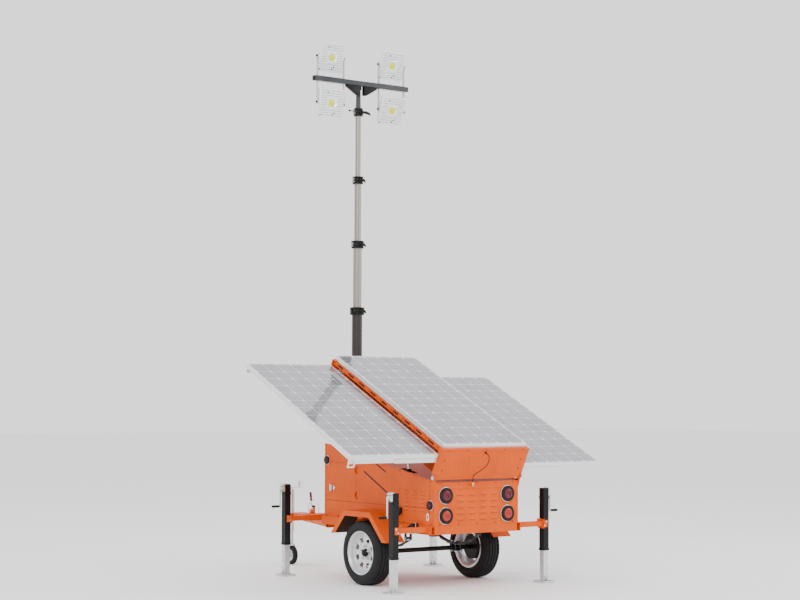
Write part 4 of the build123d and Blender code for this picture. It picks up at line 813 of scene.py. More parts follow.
def add_louvre_grid(name, wall_point, across, outward, columns, rows, wide):
    """columns are places along the wall and rows are heights."""
    shape = bmesh.new()
    for place in columns:
        for height in rows:
            add_louvre(shape, wall_point + across * place + Vector((0, 0, height)), across, outward, wide)
    # The second material, black, is the painted shade in the hoods' mouths.
    piece = finish_piece(name, shape, "chassis", "orange_paint", ORANGE, BLACK_PLASTIC)
    print(name, len(columns) * len(rows), "hoods")
    return piece


rear_rows = [0.660 + 0.0575 * step for step in range(5)]
side_rows = [0.745 + 0.037 * step for step in range(6)]
side_columns = [-0.285, -0.414, -0.542, -0.675]
add_louvre_grid(
    "rear_louvres", at(0, REAR_Y, 0), Vector((1, 0, 0)), Vector((0, -1, 0)), [-0.199, -0.062, 0.075, 0.206],
    rear_rows, 0.088,
)
for name, side in SIDES:
    add_louvre_grid(
        name + "_louvres", at(side * WALL, 0, 0), Vector((0, 1, 0)), Vector((side, 0, 0)), side_columns,
        side_rows, 0.080,
    )

# %% [markdown]
# ## Folds, seams and stripes
# A cabinet is folded sheet, so its edges show: a return lip along the bottom of each wall, corner posts,
# a rolled bead above the rear vents, and the gap between the lower skirt and the upper wall. The stripes
# are thin vinyl. All are thin plates laid a little proud, which keeps their edges sharp in the light.

# %% Wall folds and seams
SEAM = 0.0025
ROOF_REAR = 1.0
ROOF_SLOPE = math.radians(10)
SKIRT_Z = 0.612
FRONT_POST = 0.944


def wall_strip(shape, side, start, end, wide, proud, index=0):
    """A thin band on a side wall between two (y, z) points."""
    first, last = at(0, *start), at(0, *end)
    along = (last - first).normalized()
    square = Vector((0, -along.z, along.y)) * wide / 2
    face_x = Vector((side * WALL, 0, 0))
    outline = [
        first + square + face_x, last + square + face_x, last - square + face_x, first - square + face_x
    ]
    add_plate(shape, outline, (side * proud, 0, 0), index=index)


def roof_height(y):
    return ROOF_REAR + (y - REAR_Y) * math.tan(ROOF_SLOPE)


def add_side_trim(name, side):
    shape = bmesh.new()
    wall_strip(shape, side, (REAR_Y, SKIRT_Z), (0.955, SKIRT_Z), 0.024, 0.003)
    wall_strip(shape, side, (-0.831, SKIRT_Z), (-0.831, 0.998), 0.022, 0.002)
    wall_strip(shape, side, (FRONT_POST, SKIRT_Z), (FRONT_POST, roof_height(FRONT_POST)), 0.022, 0.002)
    wall_strip(shape, side, (-0.836, 1.002), (0.952, roof_height(0.952) + 0.001), 0.020, 0.003)
    wall_strip(shape, side, (-0.80, 0.760), (0.955, 0.760), SEAM, 0.0008, 1)
    wall_strip(shape, side, (-0.775, 0.690), (-0.775, 0.985), SEAM, 0.0008, 1)
    return finish_piece("side_trim_" + name, shape, "chassis", "orange_paint", ORANGE, BLACK_PLASTIC)


def add_stripes(name, side):
    shape = bmesh.new()
    wall_strip(shape, side, (-0.148, 0.856), (0.280, 1.068), 0.016, 0.0006)
    wall_strip(shape, side, (-0.084, 1.072), (0.137, 1.174), 0.014, 0.0006)
    return finish_piece("stripes_" + name, shape, "chassis", "black_plastic", BLACK_PLASTIC)


def add_rear_trim():
    shape = bmesh.new()
    y = REAR_Y + AXLE_Y
    add_block(shape, (-WALL, y - 0.003, 0.600), (WALL, y, 0.624), 0.001)
    add_block(shape, (-WALL, y - 0.0025, 0.982), (WALL, y, 0.998), 0.001)
    for end in (-1, 1):
        outline = [
            (end * WALL, y, 0.600), (end * (WALL - 0.020), y, 0.600), (end * (WALL - 0.020), y, 0.998)
        ]
        add_plate(shape, outline + [(end * WALL, y, 0.998)], (0, -0.002, 0))
    add_bar(shape, (-0.276, y, 0.935), (0.301, y, 0.935), 0.0035, segments=12)
    return finish_piece("rear_trim", shape, "chassis", "orange_paint", ORANGE)


for name, side in SIDES:
    add_side_trim(name, side)
    add_stripes(name, side)
add_rear_trim()
print("trims and stripes on", len(SIDES), "sides")

# %% [markdown]
# ## Screws
# Dozens of the same screw hold sheet metal together. One function puts a hexagon head on a washer at each
# given place, all in one mesh per group, because separate objects would slow everything down.

# %% Screw heads
def add_screw(shape, place, outward, radius=0.006, tall=0.004, index=0):
    """A hexagon head on a washer."""
    place, outward = Vector(place), Vector(outward).normalized()
    add_bar(shape, place, place + outward * 0.0012, radius * 1.5, segments=16, index=index)
    add_bar(shape, place, place + outward * tall, radius, segments=6, bevel=0.0006, index=index)


def add_body_screws():
    shape = bmesh.new()
    for side in (-1, 1):
        face = side * (WALL + 0.003)
        for step in range(9):
            add_screw(shape, at(face, -0.80 + 0.215 * step, SKIRT_Z), (side, 0, 0))
        for step in range(8):
            y = -0.79 + 0.245 * step
            add_screw(shape, at(face, y, roof_height(y)), (side, 0, 0), 0.005)
        for height in (0.70, 0.80, 0.90):
            add_screw(shape, at(side * (WALL + 0.002), FRONT_POST, height), (side, 0, 0), 0.005)
    for step in range(5):
        add_screw(shape, at(-0.44 + 0.22 * step, REAR_Y - 0.003, SKIRT_Z), (0, -1, 0))
        add_screw(shape, at(-0.44 + 0.22 * step, REAR_Y - 0.0025, 0.990), (0, -1, 0), 0.005)
    return finish_piece("body_screws", shape, "chassis", "orange_paint", SCREW_ORANGE)


add_body_screws()
print("body screws done")

# %% [markdown]
# ## Rear lamps and side markers
# Each rear lamp is a rubber-edged round housing with a bright trim ring and a domed, ribbed lens.
# Everything is round, so everything is turned. The lens has rings of ribs in its own outline, since ribs
# catch the light in a way that a flat disc with a pattern never does.

# %% Round lamps
def lens_outline(radius, dome):
    """A dome with fine ring ribs, from the middle outwards."""
    outline = [(0.0, dome)]
    ribs = 9
    for rib in range(1, ribs + 1):
        share = rib / ribs
        height = dome * math.sqrt(max(0.0, 1 - (share * 0.92) ** 2))
        outline.append((radius * (share - 0.35 / ribs), height + 0.0012))
        outline.append((radius * share, height))
    return outline + [(radius, 0.0)]


def add_round_lamp(name, centre, outward, radius, lens_radius, lens_slot, lens, stand):
    """Bezel, trim ring and lens of one lamp; stand is how far it stands off the wall."""
    shape = bmesh.new()
    bezel = [
        (radius + 0.004, 0.0), (radius + 0.004, 0.003), (radius, 0.004), (radius, stand - 0.004),
        (radius - 0.004, stand), (lens_radius + 0.004, stand + 0.001), (lens_radius, stand - 0.003),
        (0, stand - 0.004),
    ]
    axis = Vector(outward)
    for face in add_turned(shape, bezel, centre, outward, 64):
        away = face.calc_center_median() - Vector(centre)
        if (away - axis * away.dot(axis)).length > radius:
            face.material_index = 1
    finish_piece(name + "_bezel", shape, "chassis", "black_plastic", BLACK_PLASTIC, RIM_SILVER)
    glass = bmesh.new()
    dome = lens_outline(lens_radius - 0.0005, 0.008)
    add_turned(glass, dome, Vector(centre) + Vector(outward) * (stand - 0.003), outward, 64)
    return finish_piece(name + "_lens", glass, "chassis", lens_slot, lens)


def add_lamps():
    stand = 0.019
    for name, side in SIDES:
        for height, level, slot, lens in (
            (0.879, "upper", "lens_red", RED_LENS), (0.692, "lower", "lens_amber", AMBER_LENS)
        ):
            centre = at(side * 0.372, REAR_Y, height)
            add_round_lamp(f"{level}_{name}", centre, (0, -1, 0), 0.0755, 0.048, slot, lens, stand)
        for place, y, height in (("rear", -0.786, 0.790), ("front", 0.911, 1.157)):
            centre = at(side * WALL, y, height)
            add_round_lamp(
                f"marker_{place}_{name}", centre, (side, 0, 0), 0.0425, 0.024, "lens_red", RED_LENS, stand
            )


add_lamps()

# %% [markdown]
# ## The tray's wall and hinges
# The tray is a folded pan that tilts on two bolts. Its own axes lean with the slope, so its trim is built
# flat, in those axes, and one matrix lays it on the tray. The wall carries two folds and a few screws,
# and each hinge is a large bright bolt through the ear.

# %% Tray trim
TRAY = Matrix.Translation(hinge_point()) @ Matrix.Rotation(TILT, 4, "X")
TRAY_WALL_U = -0.012
TRAY_TOP_W = 0.2967
MODULE_LEVEL = {"centre": 0.2967, "left": 0.1967, "right": 0.0797}
MODULE_X = {"centre": 0.0, "left": -1.025, "right": 1.025}
MODULE_REAR, MODULE_FRONT = 0.0194, 1.9754
MODULE_HALF = 0.496
MODULE_TALL = 0.040


def tray_trim():
    shape = bmesh.new()
    back = TRAY_WALL_U
    for x in (-0.17, 0.17):
        add_block(shape, (x - 0.002, back - 0.0015, 0.036), (x + 0.002, back, TRAY_TOP_W - 0.004), 0.0007)
    add_block(shape, (-0.500, back - 0.003, -0.014), (0.500, back, 0.006), 0.001)
    add_block(shape, (-0.523, back - 0.0025, TRAY_TOP_W - 0.016), (0.523, back, TRAY_TOP_W), 0.001)
    for side in (-1, 1):
        add_block(
            shape, (side * 0.5255, back, 0.032), (side * 0.5240, back + 0.050, TRAY_TOP_W - 0.005), 0.0006
        )
        for step in range(9):
            u = 0.16 + 0.205 * step
            add_block(shape, (side * 0.5020, u, 0.262), (side * 0.5000, u + 0.09, 0.278), 0.0008, index=1)
    return finish_piece("tray_trim", shape, "tray", "orange_paint", ORANGE, BLACK_PLASTIC, place=TRAY)


def tray_screws():
    shape = bmesh.new()
    back = TRAY_WALL_U
    for side in (-1, 1):
        for w in (0.085, 0.185):
            add_screw(shape, (side * 0.462, back, w), (0, -1, 0), 0.007)
        for step in range(10):
            add_screw(shape, (side * 0.500, 0.09 + 0.2 * step, 0.270), (side, 0, 0), 0.006)
    for step in range(5):
        add_screw(shape, (-0.44 + 0.22 * step, back - 0.0025, TRAY_TOP_W - 0.008), (0, -1, 0), 0.005)
    pins = bmesh.new()
    for side in (-1, 1):
        add_screw(pins, (side * 0.532, 0, 0), (side, 0, 0), 0.013, 0.009)
    finish_piece("tray_hinge_bolts", pins, "tray", "galvanised", ZINC_BOLT, place=TRAY)
    return finish_piece("tray_screws", shape, "tray", "orange_paint", SCREW_ORANGE, place=TRAY)


tray_trim()
tray_screws()
print("tray leans", round(math.degrees(TILT), 1), "degrees")

# %% [markdown]
# ## The modules' undersides
# From below, a module is not blue: it is a white backing sheet inside the frame, with a small black
# junction box near its upper end. Corner keys close the frame's mitres. These are plain blocks with
# rounded edges, built in the tray's axes and put on the body that carries each module.

# %% Backing sheets, junction boxes and corner keys
BACK_SHEET = moulded("white backing sheet", (0.62, 0.62, 0.62), 0.6, 200.0, 0.05)
FRAME_LIP = 0.0125
KEY_LONG, KEY_PROUD = 0.020, 0.0008


def add_module_back(name, body):
    level, x = MODULE_LEVEL[name], MODULE_X[name]
    glass_low = level + MODULE_TALL - 0.007
    inner = MODULE_HALF - FRAME_LIP
    shape = bmesh.new()
    rear, front = MODULE_REAR + FRAME_LIP, MODULE_FRONT - FRAME_LIP
    add_block(shape, (x - inner, rear, glass_low - 0.002), (x + inner, front, glass_low - 0.0002))
    near, far = MODULE_FRONT - 0.24, MODULE_FRONT - 0.13
    add_block(
        shape, (x - 0.06, near, glass_low - 0.020), (x + 0.06, far, glass_low - 0.002), 0.004, index=1
    )
    finish_piece(f"module_{name}_back", shape, body, "lamp_white", BACK_SHEET, BLACK_PLASTIC, place=TRAY)
    keys = bmesh.new()
    for end in (-1, 1):
        for u, out in ((MODULE_REAR, -1), (MODULE_FRONT, 1)):
            edge = x + end * MODULE_HALF
            outer = (edge + end * KEY_PROUD, u + out * KEY_PROUD, level + 0.0005)
            inward = (edge - end * KEY_LONG, u - out * KEY_LONG, level + MODULE_TALL + KEY_PROUD)
            add_block(keys, outer, inward, 0.0006)
    finish_piece(f"module_{name}_keys", keys, body, "rail_aluminium", ALUMINIUM, place=TRAY)


for name, body in (("centre", "tray"), ("left", "panel_left"), ("right", "panel_right")):
    add_module_back(name, body)
print("module", round(MODULE_FRONT - MODULE_REAR, 3), "x", 2 * MODULE_HALF)

# %% [markdown]
# ## Cable gland and grommet
# A brass compression gland has a hexagon base and a domed nut. The grommet at the other end is a rubber
# ring. Both are turned round the cable's own line, and the hexagon is the same bar helper with six sides.

# %% Gland and grommet
def cable_fittings():
    foot = at(-0.080, -0.882, 0.960)
    shape = bmesh.new()
    add_bar(
        shape, foot + Vector((0, 0, 0.004)), foot + Vector((0, 0, 0.014)), 0.0135, segments=6, bevel=0.001
    )
    dome = [
        (0.0095, 0.014), (0.0125, 0.016), (0.0125, 0.026), (0.0100, 0.034), (0.0052, 0.038),
        (0.0048, 0.030), (0.0048, 0.014)
    ]
    add_turned(shape, dome, foot, (0, 0, 1), 32, closed=True)
    add_bar(shape, foot + Vector((0, 0, 0.0)), foot + Vector((0, 0, 0.004)), 0.0105, segments=32)
    finish_piece("cable_gland_nut", shape, "chassis", "galvanised", BRASS)
    ring = bmesh.new()
    lip = [
        (0.0105, 0.0), (0.0120, -0.002), (0.0105, -0.004), (0.0092, -0.005), (0.0085, -0.0142),
        (0.0048, -0.0148), (0.0048, 0.0)
    ]
    add_turned(ring, lip, (-0.002, TRAY_WALL_U, 0.262), (0, 1, 0), 32, closed=True)
    finish_piece("cable_grommet", ring, "tray", "rubber", RUBBER, place=TRAY)


cable_fittings()

# %% [markdown]
# ## Mast collars
# Each mast section ends in a cast clamp collar that guides the next one. A collar is a ring with two
# flanges and a pair of ears that a lever with a ball end pulls together. The ring is turned, the ball is
# an icosphere, and the ears are bevelled blocks. Every collar rides on the section it belongs to, so the
# mast can telescope.

# %% Clamp collars
COLLAR_TALL = 0.070
SECTION = [
    ("mast_tube_1", "chassis", 0.068, 0.044, 0.085, 0.044),
    ("mast_tube_2", "mast_2", 0.058, 0.0345, 0.080, 0.044),
    ("mast_tube_3", "mast_3", 0.048, 0.028, 0.075, 0.044),
    ("mast_tube_4", "mast_4", 0.042, 0.025, 0.146, 0.110),
]
MAST_X, MAST_Y = 0.0, 1.1275 + AXLE_Y


def add_collar(node, body, radius, inner, lever, wing):
    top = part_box(node)[1].z
    low = top - COLLAR_TALL
    base = Vector((MAST_X, MAST_Y, low))
    shape = bmesh.new()
    ring = [
        (radius - 0.003, -0.003), (radius + 0.006, -0.003), (radius + 0.007, 0.004),
        (radius + 0.006, 0.010),
        (radius + 0.001, 0.013), (radius + 0.001, 0.056), (radius + 0.008, 0.060), (radius + 0.009, 0.068),
        (radius + 0.006, 0.073), (inner + 0.0025, 0.074), (inner + 0.0025, 0.071), (radius - 0.003, 0.069),
    ]
    add_turned(shape, ring, base, (0, 0, 1), 64, closed=True)
    for end in (-1, 1):
        ear = base + Vector((end * 0.010, -(radius + 0.008), COLLAR_TALL / 2))
        add_block(shape, ear - Vector((0.005, 0.012, 0.022)), ear + Vector((0.005, 0.012, 0.022)), 0.003)
    pin = base + Vector((0, -(radius + 0.012), COLLAR_TALL / 2))
    add_bar(
        shape, pin - Vector((lever, 0, 0)), pin + Vector((0.022, 0, 0)), 0.005, segments=16, bevel=0.001
    )
    ball = Matrix.Translation(pin - Vector((lever + 0.003, 0, 0)))
    bmesh.ops.create_icosphere(shape, subdivisions=3, radius=0.011, matrix=ball)
    root = pin + Vector((0.018, 0, 0))
    outline = [
        (0, 0.012), (0.45, 0.016), (0.85, 0.002), (1.0, -0.026), (0.78, -0.022), (0.40, -0.014),
        (0, -0.012)
    ]
    points = [root + Vector((wing * along, 0, rise)) for along, rise in outline]
    add_plate(shape, points, (0, 0.012, 0), 0.002)
    return finish_piece(body + "_collar", shape, body, "mast_dark", BLACK_PLASTIC)


for section in SECTION:
    add_collar(*section)
print("collars", len(SECTION))

# %% [markdown]
# ## Floodlights
# A floodlight is a square white casting with cooling fins behind, a ribbed front, and a bright cup round
# a yellow chip. The casting is a bevelled block, the fins are thin blocks in a loop, and the cup is
# turned. It hangs between its yoke's legs on two hand screws, about which it tilts.

# %% Floodlight castings
LAMP_HALF = 0.150
LAMP_FRONT, LAMP_BACK = -0.023, 0.005
FIN_BACK = 0.0345
FIN_COUNT = 16
RIB_COUNT = 11
LAMP_AIM = {"ul": 16, "ur": 20, "ll": 8, "lr": 20}
FIN_GREY = painted("lamp rib grey", (0.36, 0.37, 0.39), (0.30, 0.31, 0.33), 0.45, (0.36, 0.37, 0.39))


def add_floodlight(name):
    """Casting, ribs, cup, chip and screws, built about the trunnions, then turned to the lamp's aim."""
    body = "lamp_" + name
    centre = Matrix.Translation(joints["lamp_tilt_" + name]["pos_m"])
    place = centre @ Matrix.Rotation(math.radians(LAMP_AIM[name]), 4, "X")
    face = LAMP_FRONT
    shape = bmesh.new()
    add_block(shape, (-LAMP_HALF, LAMP_FRONT, -LAMP_HALF), (LAMP_HALF, LAMP_BACK, LAMP_HALF), 0.007, 3)
    for fin in range(FIN_COUNT):
        x = -LAMP_HALF + 0.012 + (2 * LAMP_HALF - 0.024) * fin / (FIN_COUNT - 1)
        low = (x - 0.0016, LAMP_BACK - 0.001, -LAMP_HALF + 0.008)
        add_block(shape, low, (x + 0.0016, FIN_BACK, LAMP_HALF - 0.008), 0.001, 1)
    for end in (-1, 1):
        add_bar(shape, (end * 0.146, 0, 0), (end * 0.160, 0, 0), 0.0075, segments=24)
    housing = finish_piece(body + "_casting", shape, body, "lamp_white", WHITE_COAT, place=place)
    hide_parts("floodlight_" + name)
    front = bmesh.new()
    for rib in range(RIB_COUNT):
        z = -0.125 + 0.25 * rib / (RIB_COUNT - 1)
        spans = ((-0.135, -0.066), (0.066, 0.135)) if abs(z) < 0.066 else ((-0.135, 0.135),)
        for low_x, high_x in spans:
            add_block(
                front, (low_x, face - 0.0022, z - 0.0022), (high_x, face + 0.001, z + 0.0022), 0.0008, 1
            )
    finish_piece(body + "_ribs", front, body, "lamp_white", FIN_GREY, place=place)
    cup = bmesh.new()
    bowl = [
        (0.062, 0.001), (0.062, -0.009), (0.058, -0.0115), (0.053, -0.0115), (0.044, -0.004),
        (0.034, 0.0005), (0.0, 0.0005)
    ]
    add_turned(cup, [(radius, face + along) for radius, along in bowl], (0, 0, 0), (0, 1, 0), 64)
    finish_piece(body + "_cup", cup, body, "lamp_white", MIRROR_CUP, place=place)
    chip = bmesh.new()
    disc = [(0.0, -0.0045), (0.030, -0.0040), (0.0365, -0.0026), (0.0375, 0.0008)]
    add_turned(chip, [(radius, face + along) for radius, along in disc], (0, 0, 0), (0, 1, 0), 48)
    finish_piece(body + "_chip", chip, body, "lamp_white", CHIP, place=place)
    screws = bmesh.new()
    for x, z in ((-0.055, 0.105), (0.040, -0.098), (0.020, -0.118), (-0.132, -0.132)):
        add_screw(screws, (x, face, z), (0, -1, 0), 0.0055, 0.003)
    for end in (-1, 1):
        add_bar(screws, (end * 0.1652, 0, 0), (end * 0.1712, 0, 0), 0.011, segments=32, bevel=0.001)
        add_bar(screws, (end * 0.1712, 0, 0), (end * 0.180, 0, 0), 0.009, segments=6, bevel=0.001)
    finish_piece(body + "_screws", screws, body, "black_plastic", BLACK_PLASTIC, place=place)


for name in ("ul", "ur", "ll", "lr"):
    add_floodlight(name)
print("floodlights done")

# %% [markdown]
# ## The cross bar
# The lamps hang on a square tube across the top of the mast. Two black wedges brace it, the post below
# turns in the top collar, and each lamp has a pale yoke: a strap with two legs. These pieces stand in for
# one engineering part, so that bar, wedges and yokes can each have their own colour.

# %% Bar, post, wedges and yokes
BAR_Y, BAR_Z = 1.0775 + AXLE_Y, 5.040
BAR_REACH, BAR_SIDE = 0.590, 0.025
YOKE_REACH, YOKE_SHEET = 0.165, 0.006
YOKE_GREY = painted("pale yoke grey", (0.50, 0.51, 0.53), (0.42, 0.43, 0.45), 0.4, (0.5, 0.5, 0.52))


def add_bar_pieces():
    shape = bmesh.new()
    rear, low = BAR_Y - BAR_SIDE, BAR_Z - BAR_SIDE
    add_block(shape, (-BAR_REACH, rear, low), (BAR_REACH, BAR_Y + BAR_SIDE, BAR_Z + BAR_SIDE), 0.004)
    beam = finish_piece("head_bar", shape, "mast_head", "bar_paint", GREY_PAINT)
    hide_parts("light_bar")
    post = bmesh.new()
    outline = [
        (0.0, 4.713), (0.0245, 4.713), (0.0245, 4.781), (0.040, 4.781), (0.040, 4.793), (0.0265, 4.797),
        (0.0245, 4.90), (0.0245, 5.063), (0.0, 5.063)
    ]
    add_turned(post, outline, (0, MAST_Y, 0), (0, 0, 1), 48)
    add_block(post, (-0.024, BAR_Y + BAR_SIDE, BAR_Z - 0.060), (0.024, MAST_Y, BAR_Z + BAR_SIDE), 0.003)
    finish_piece("head_post", post, "mast_head", "bar_paint", GREY_PAINT)
    wedges = bmesh.new()
    for side in (-1, 1):
        corners = [(0.026, 0), (0.190, 0), (0.190, -0.018), (0.060, -0.095), (0.026, -0.095)]
        points = [Vector((side * x, BAR_Y - 0.020, low + z)) for x, z in corners]
        add_plate(wedges, points, (0, 0.006, 0), 0.0015)
        add_plate(wedges, [point + Vector((0, 0.034, 0)) for point in points], (0, 0.006, 0), 0.0015)
        floor = [points[2], points[3], points[3] + Vector((0, 0.040, 0)), points[2] + Vector((0, 0.040, 0))]
        add_plate(wedges, floor, (0, 0, 0.005), 0.001)
    finish_piece("head_wedges", wedges, "mast_head", "bar_paint", BLACK_PAINT)
    caps = bmesh.new()
    for side in (-1, 1):
        end = (side * BAR_REACH, BAR_Y - 0.024, BAR_Z - 0.024)
        add_block(caps, end, (side * (BAR_REACH + 0.004), BAR_Y + 0.024, BAR_Z + 0.024), 0.0015)
    finish_piece("head_caps", caps, "mast_head", "black_plastic", BLACK_PLASTIC)


def add_yokes():
    shape = bmesh.new()
    bolts = bmesh.new()
    rear, front = BAR_Y - 0.015, BAR_Y + 0.015
    for name in LAMP_AIM:
        x, z = joints["lamp_tilt_" + name]["pos_m"][::2]
        up = 1 if z > BAR_Z else -1
        root = BAR_Z + up * BAR_SIDE
        add_block(
            shape, (x - YOKE_REACH, rear, root), (x + YOKE_REACH, front, root + up * YOKE_SHEET), 0.002
        )
        for end in (-1, 1):
            leg = x + end * YOKE_REACH
            add_block(shape, (leg, rear, root), (leg - end * YOKE_SHEET, front, z + up * 0.020), 0.002)
        add_screw(bolts, (x, BAR_Y, root + up * YOKE_SHEET), (0, 0, up), 0.009, 0.008)
    finish_piece("head_yokes", shape, "mast_head", "lamp_white", YOKE_GREY)
    finish_piece("head_bolts", bolts, "mast_head", "galvanised", ZINC_BOLT)


add_bar_pieces()
add_yokes()
print("cross bar", 2 * BAR_REACH, "m")

# %% [markdown]
# ## Jacks
# An outrigger jack is a black square tube with a galvanised leg inside, driven by a small gearbox and a
# crank. Here the tube gets a rolled lower rim, a cap and a bright gearbox cover, the arm gets saddle
# cheeks with bolts, and the foot a stiff rim and four gussets. The crank is round bar with a ribbed
# rubber grip.

# %% Jack details
TUBE_HALF, TUBE_LOW = 0.0325, 0.310
CRANK_Z, CRANK_DROP = 0.872, 0.190
GRIP_R, GRIP_LONG = 0.0125, 0.090
FOOT_HALF, FOOT_TOP = 0.075, 0.012


def add_square_ring(shape, x, y, inner, wall, low, high, bevel=0.001):
    outer = inner + wall
    for end in (-1, 1):
        near, far = end * inner, end * outer
        add_block(shape, at(x + near, y - outer, low), at(x + far, y + outer, high), bevel)
        add_block(shape, at(x - inner, y + near, low), at(x + inner, y + far, high), bevel)


def add_side_block(shape, x, y, side, out, wide, tall, bevel=0.001):
    """A block beside a jack: out is outwards from its centre, wide along the trailer, tall upwards."""
    near, far = x + side * out[0], x + side * out[1]
    add_block(shape, at(near, y + wide[0], tall[0]), at(far, y + wide[1], tall[1]), bevel)


def jack_trim(name, x, y, side):
    shape = bmesh.new()
    add_square_ring(shape, x, y, TUBE_HALF, 0.0035, TUBE_LOW, TUBE_LOW + 0.022)
    add_square_ring(shape, x, y, TUBE_HALF, 0.0025, 0.812, 0.834)
    add_side_block(shape, x, y, side, (-0.035, 0.035), (-0.035, 0.035), (0.905, 0.914), 0.004)
    finish_piece("jack_trim_" + name, shape, "outrigger_" + name, "black_paint", BLACK_PAINT)
    cover = bmesh.new()
    for end in (-1, 1):
        add_side_block(cover, x, y, side, (0.034, 0.0595), (end * 0.0295, end * 0.0265), (0.845, 0.896))
    add_side_block(cover, x, y, side, (0.010, 0.0605), (-0.0295, 0.0295), (0.8975, 0.920), 0.009)
    add_side_block(cover, x, y, side, (0.034, 0.0595), (-0.0295, 0.0295), (0.8385, 0.8425))
    ring = [
        (0.0105, 0.0), (0.0255, 0.0), (0.0255, 0.002), (0.0200, 0.0035), (0.0150, 0.0060),
        (0.0105, 0.0060)
    ]
    face = at(x + side * (TUBE_HALF + 0.028), y, CRANK_Z)
    add_turned(cover, ring, face, (side, 0, 0), 32, closed=True)
    for wide in (-0.018, 0.018):
        add_screw(cover, at(x + side * 0.036, y + wide, 0.920), (0, 0, 1), 0.004)
    finish_piece("jack_cover_" + name, cover, "outrigger_" + name, "rim_silver", RIM_SILVER)


def jack_saddle(name, x, y, side):
    shape = bmesh.new()
    for end in (-1, 1):
        wide = (end * TUBE_HALF, end * (TUBE_HALF + 0.005))
        add_side_block(shape, x, y, side, (-0.0405, 0.014), wide, (0.536, 0.604), 0.0015)
    add_side_block(shape, x, y, side, (-0.090, -0.0405), (-0.004, 0.004), (0.595, 0.622), 0.001)
    finish_piece("jack_saddle_" + name, shape, "outrigger_" + name, "orange_paint", ORANGE)
    bolts = bmesh.new()
    for end in (-1, 1):
        for out, z in ((-0.025, 0.552), (0.000, 0.588)):
            add_screw(bolts, at(x + side * out, y + end * (TUBE_HALF + 0.005), z), (0, end, 0), 0.0065)
    finish_piece("jack_bolts_" + name, bolts, "outrigger_" + name, "galvanised", ZINC_BOLT)


def jack_crank(name, x, y, side):
    face = x + side * TUBE_HALF
    turn = at(face + side * 0.043, y, CRANK_Z)
    low = at(face + side * 0.043, y, CRANK_Z - CRANK_DROP + GRIP_R)
    shape = bmesh.new()
    add_bar(shape, at(face + side * 0.008, y, CRANK_Z), turn, 0.009, bevel=0.001)
    add_bar(shape, turn, low, 0.0075, segments=24)
    for corner in (turn, low):
        bmesh.ops.create_icosphere(shape, subdivisions=3, radius=0.0100, matrix=Matrix.Translation(corner))
    add_bar(shape, low, low + Vector((side * 0.014, 0, 0)), 0.0065, segments=24)
    crank = finish_piece("jack_handle_" + name, shape, "crank_" + name, "galvanised", RIM_SILVER)
    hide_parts("jack_crank_" + name)
    grip = bmesh.new()
    outline = [(0.0, 0.006), (0.0095, 0.006), (GRIP_R, 0.010)]
    for rib in range(9):
        start = 0.014 + 0.008 * rib
        valley = GRIP_R - 0.0015
        outline += [
            (GRIP_R, start), (valley, start + 0.002), (valley, start + 0.004), (GRIP_R, start + 0.006)
        ]
    outline += [(GRIP_R, GRIP_LONG - 0.003), (0.0095, GRIP_LONG + 0.003), (0.0, GRIP_LONG + 0.004)]
    add_turned(grip, outline, low, (side, 0, 0), 32)
    finish_piece("jack_grip_" + name, grip, "crank_" + name, "rubber", RUBBER)


def jack_foot(name, x, y):
    shape = bmesh.new()
    add_square_ring(shape, x, y, FOOT_HALF - 0.004, 0.004, FOOT_TOP - 0.0005, FOOT_TOP + 0.007, 0.0012)
    for out_x, out_y in ((1, 0), (-1, 0), (0, 1), (0, -1)):
        along = Vector((out_x, out_y, 0))
        across = Vector((out_y, out_x, 0)) * 0.002
        base = at(x, y, FOOT_TOP)
        points = [
            base + along * 0.0285, base + along * 0.066, base + along * 0.0285 + Vector((0, 0, 0.050))
        ]
        add_plate(shape, [point - across for point in points], across * 2, 0.0006)
    finish_piece("jack_foot_" + name, shape, "leg_" + name, "galvanised", GALVANISED)


JACK_PLACE = {"rl": (-0.914, -0.770), "rr": (0.900, -0.770), "fl": (-0.833, 1.160), "fr": (1.028, 1.160)}
for name, (x, y) in JACK_PLACE.items():
    for add_detail in (jack_trim, jack_saddle, jack_crank):
        add_detail(name, x, y, math.copysign(1, x))
    jack_foot(name, x, y)
print("jacks", len(JACK_PLACE))

# %% [markdown]
# ## Drawbar, brake lever and jockey wheel
# The drawbar carries the coupler, two chain rings, the hand brake with its guide, and a jockey wheel. The
# jockey tyre is one turned outline and its hub another, and only half of each is written, since the other
# half is its mirror. The brake lever is a slim bar with a red grip, and its guide is a bent rod.

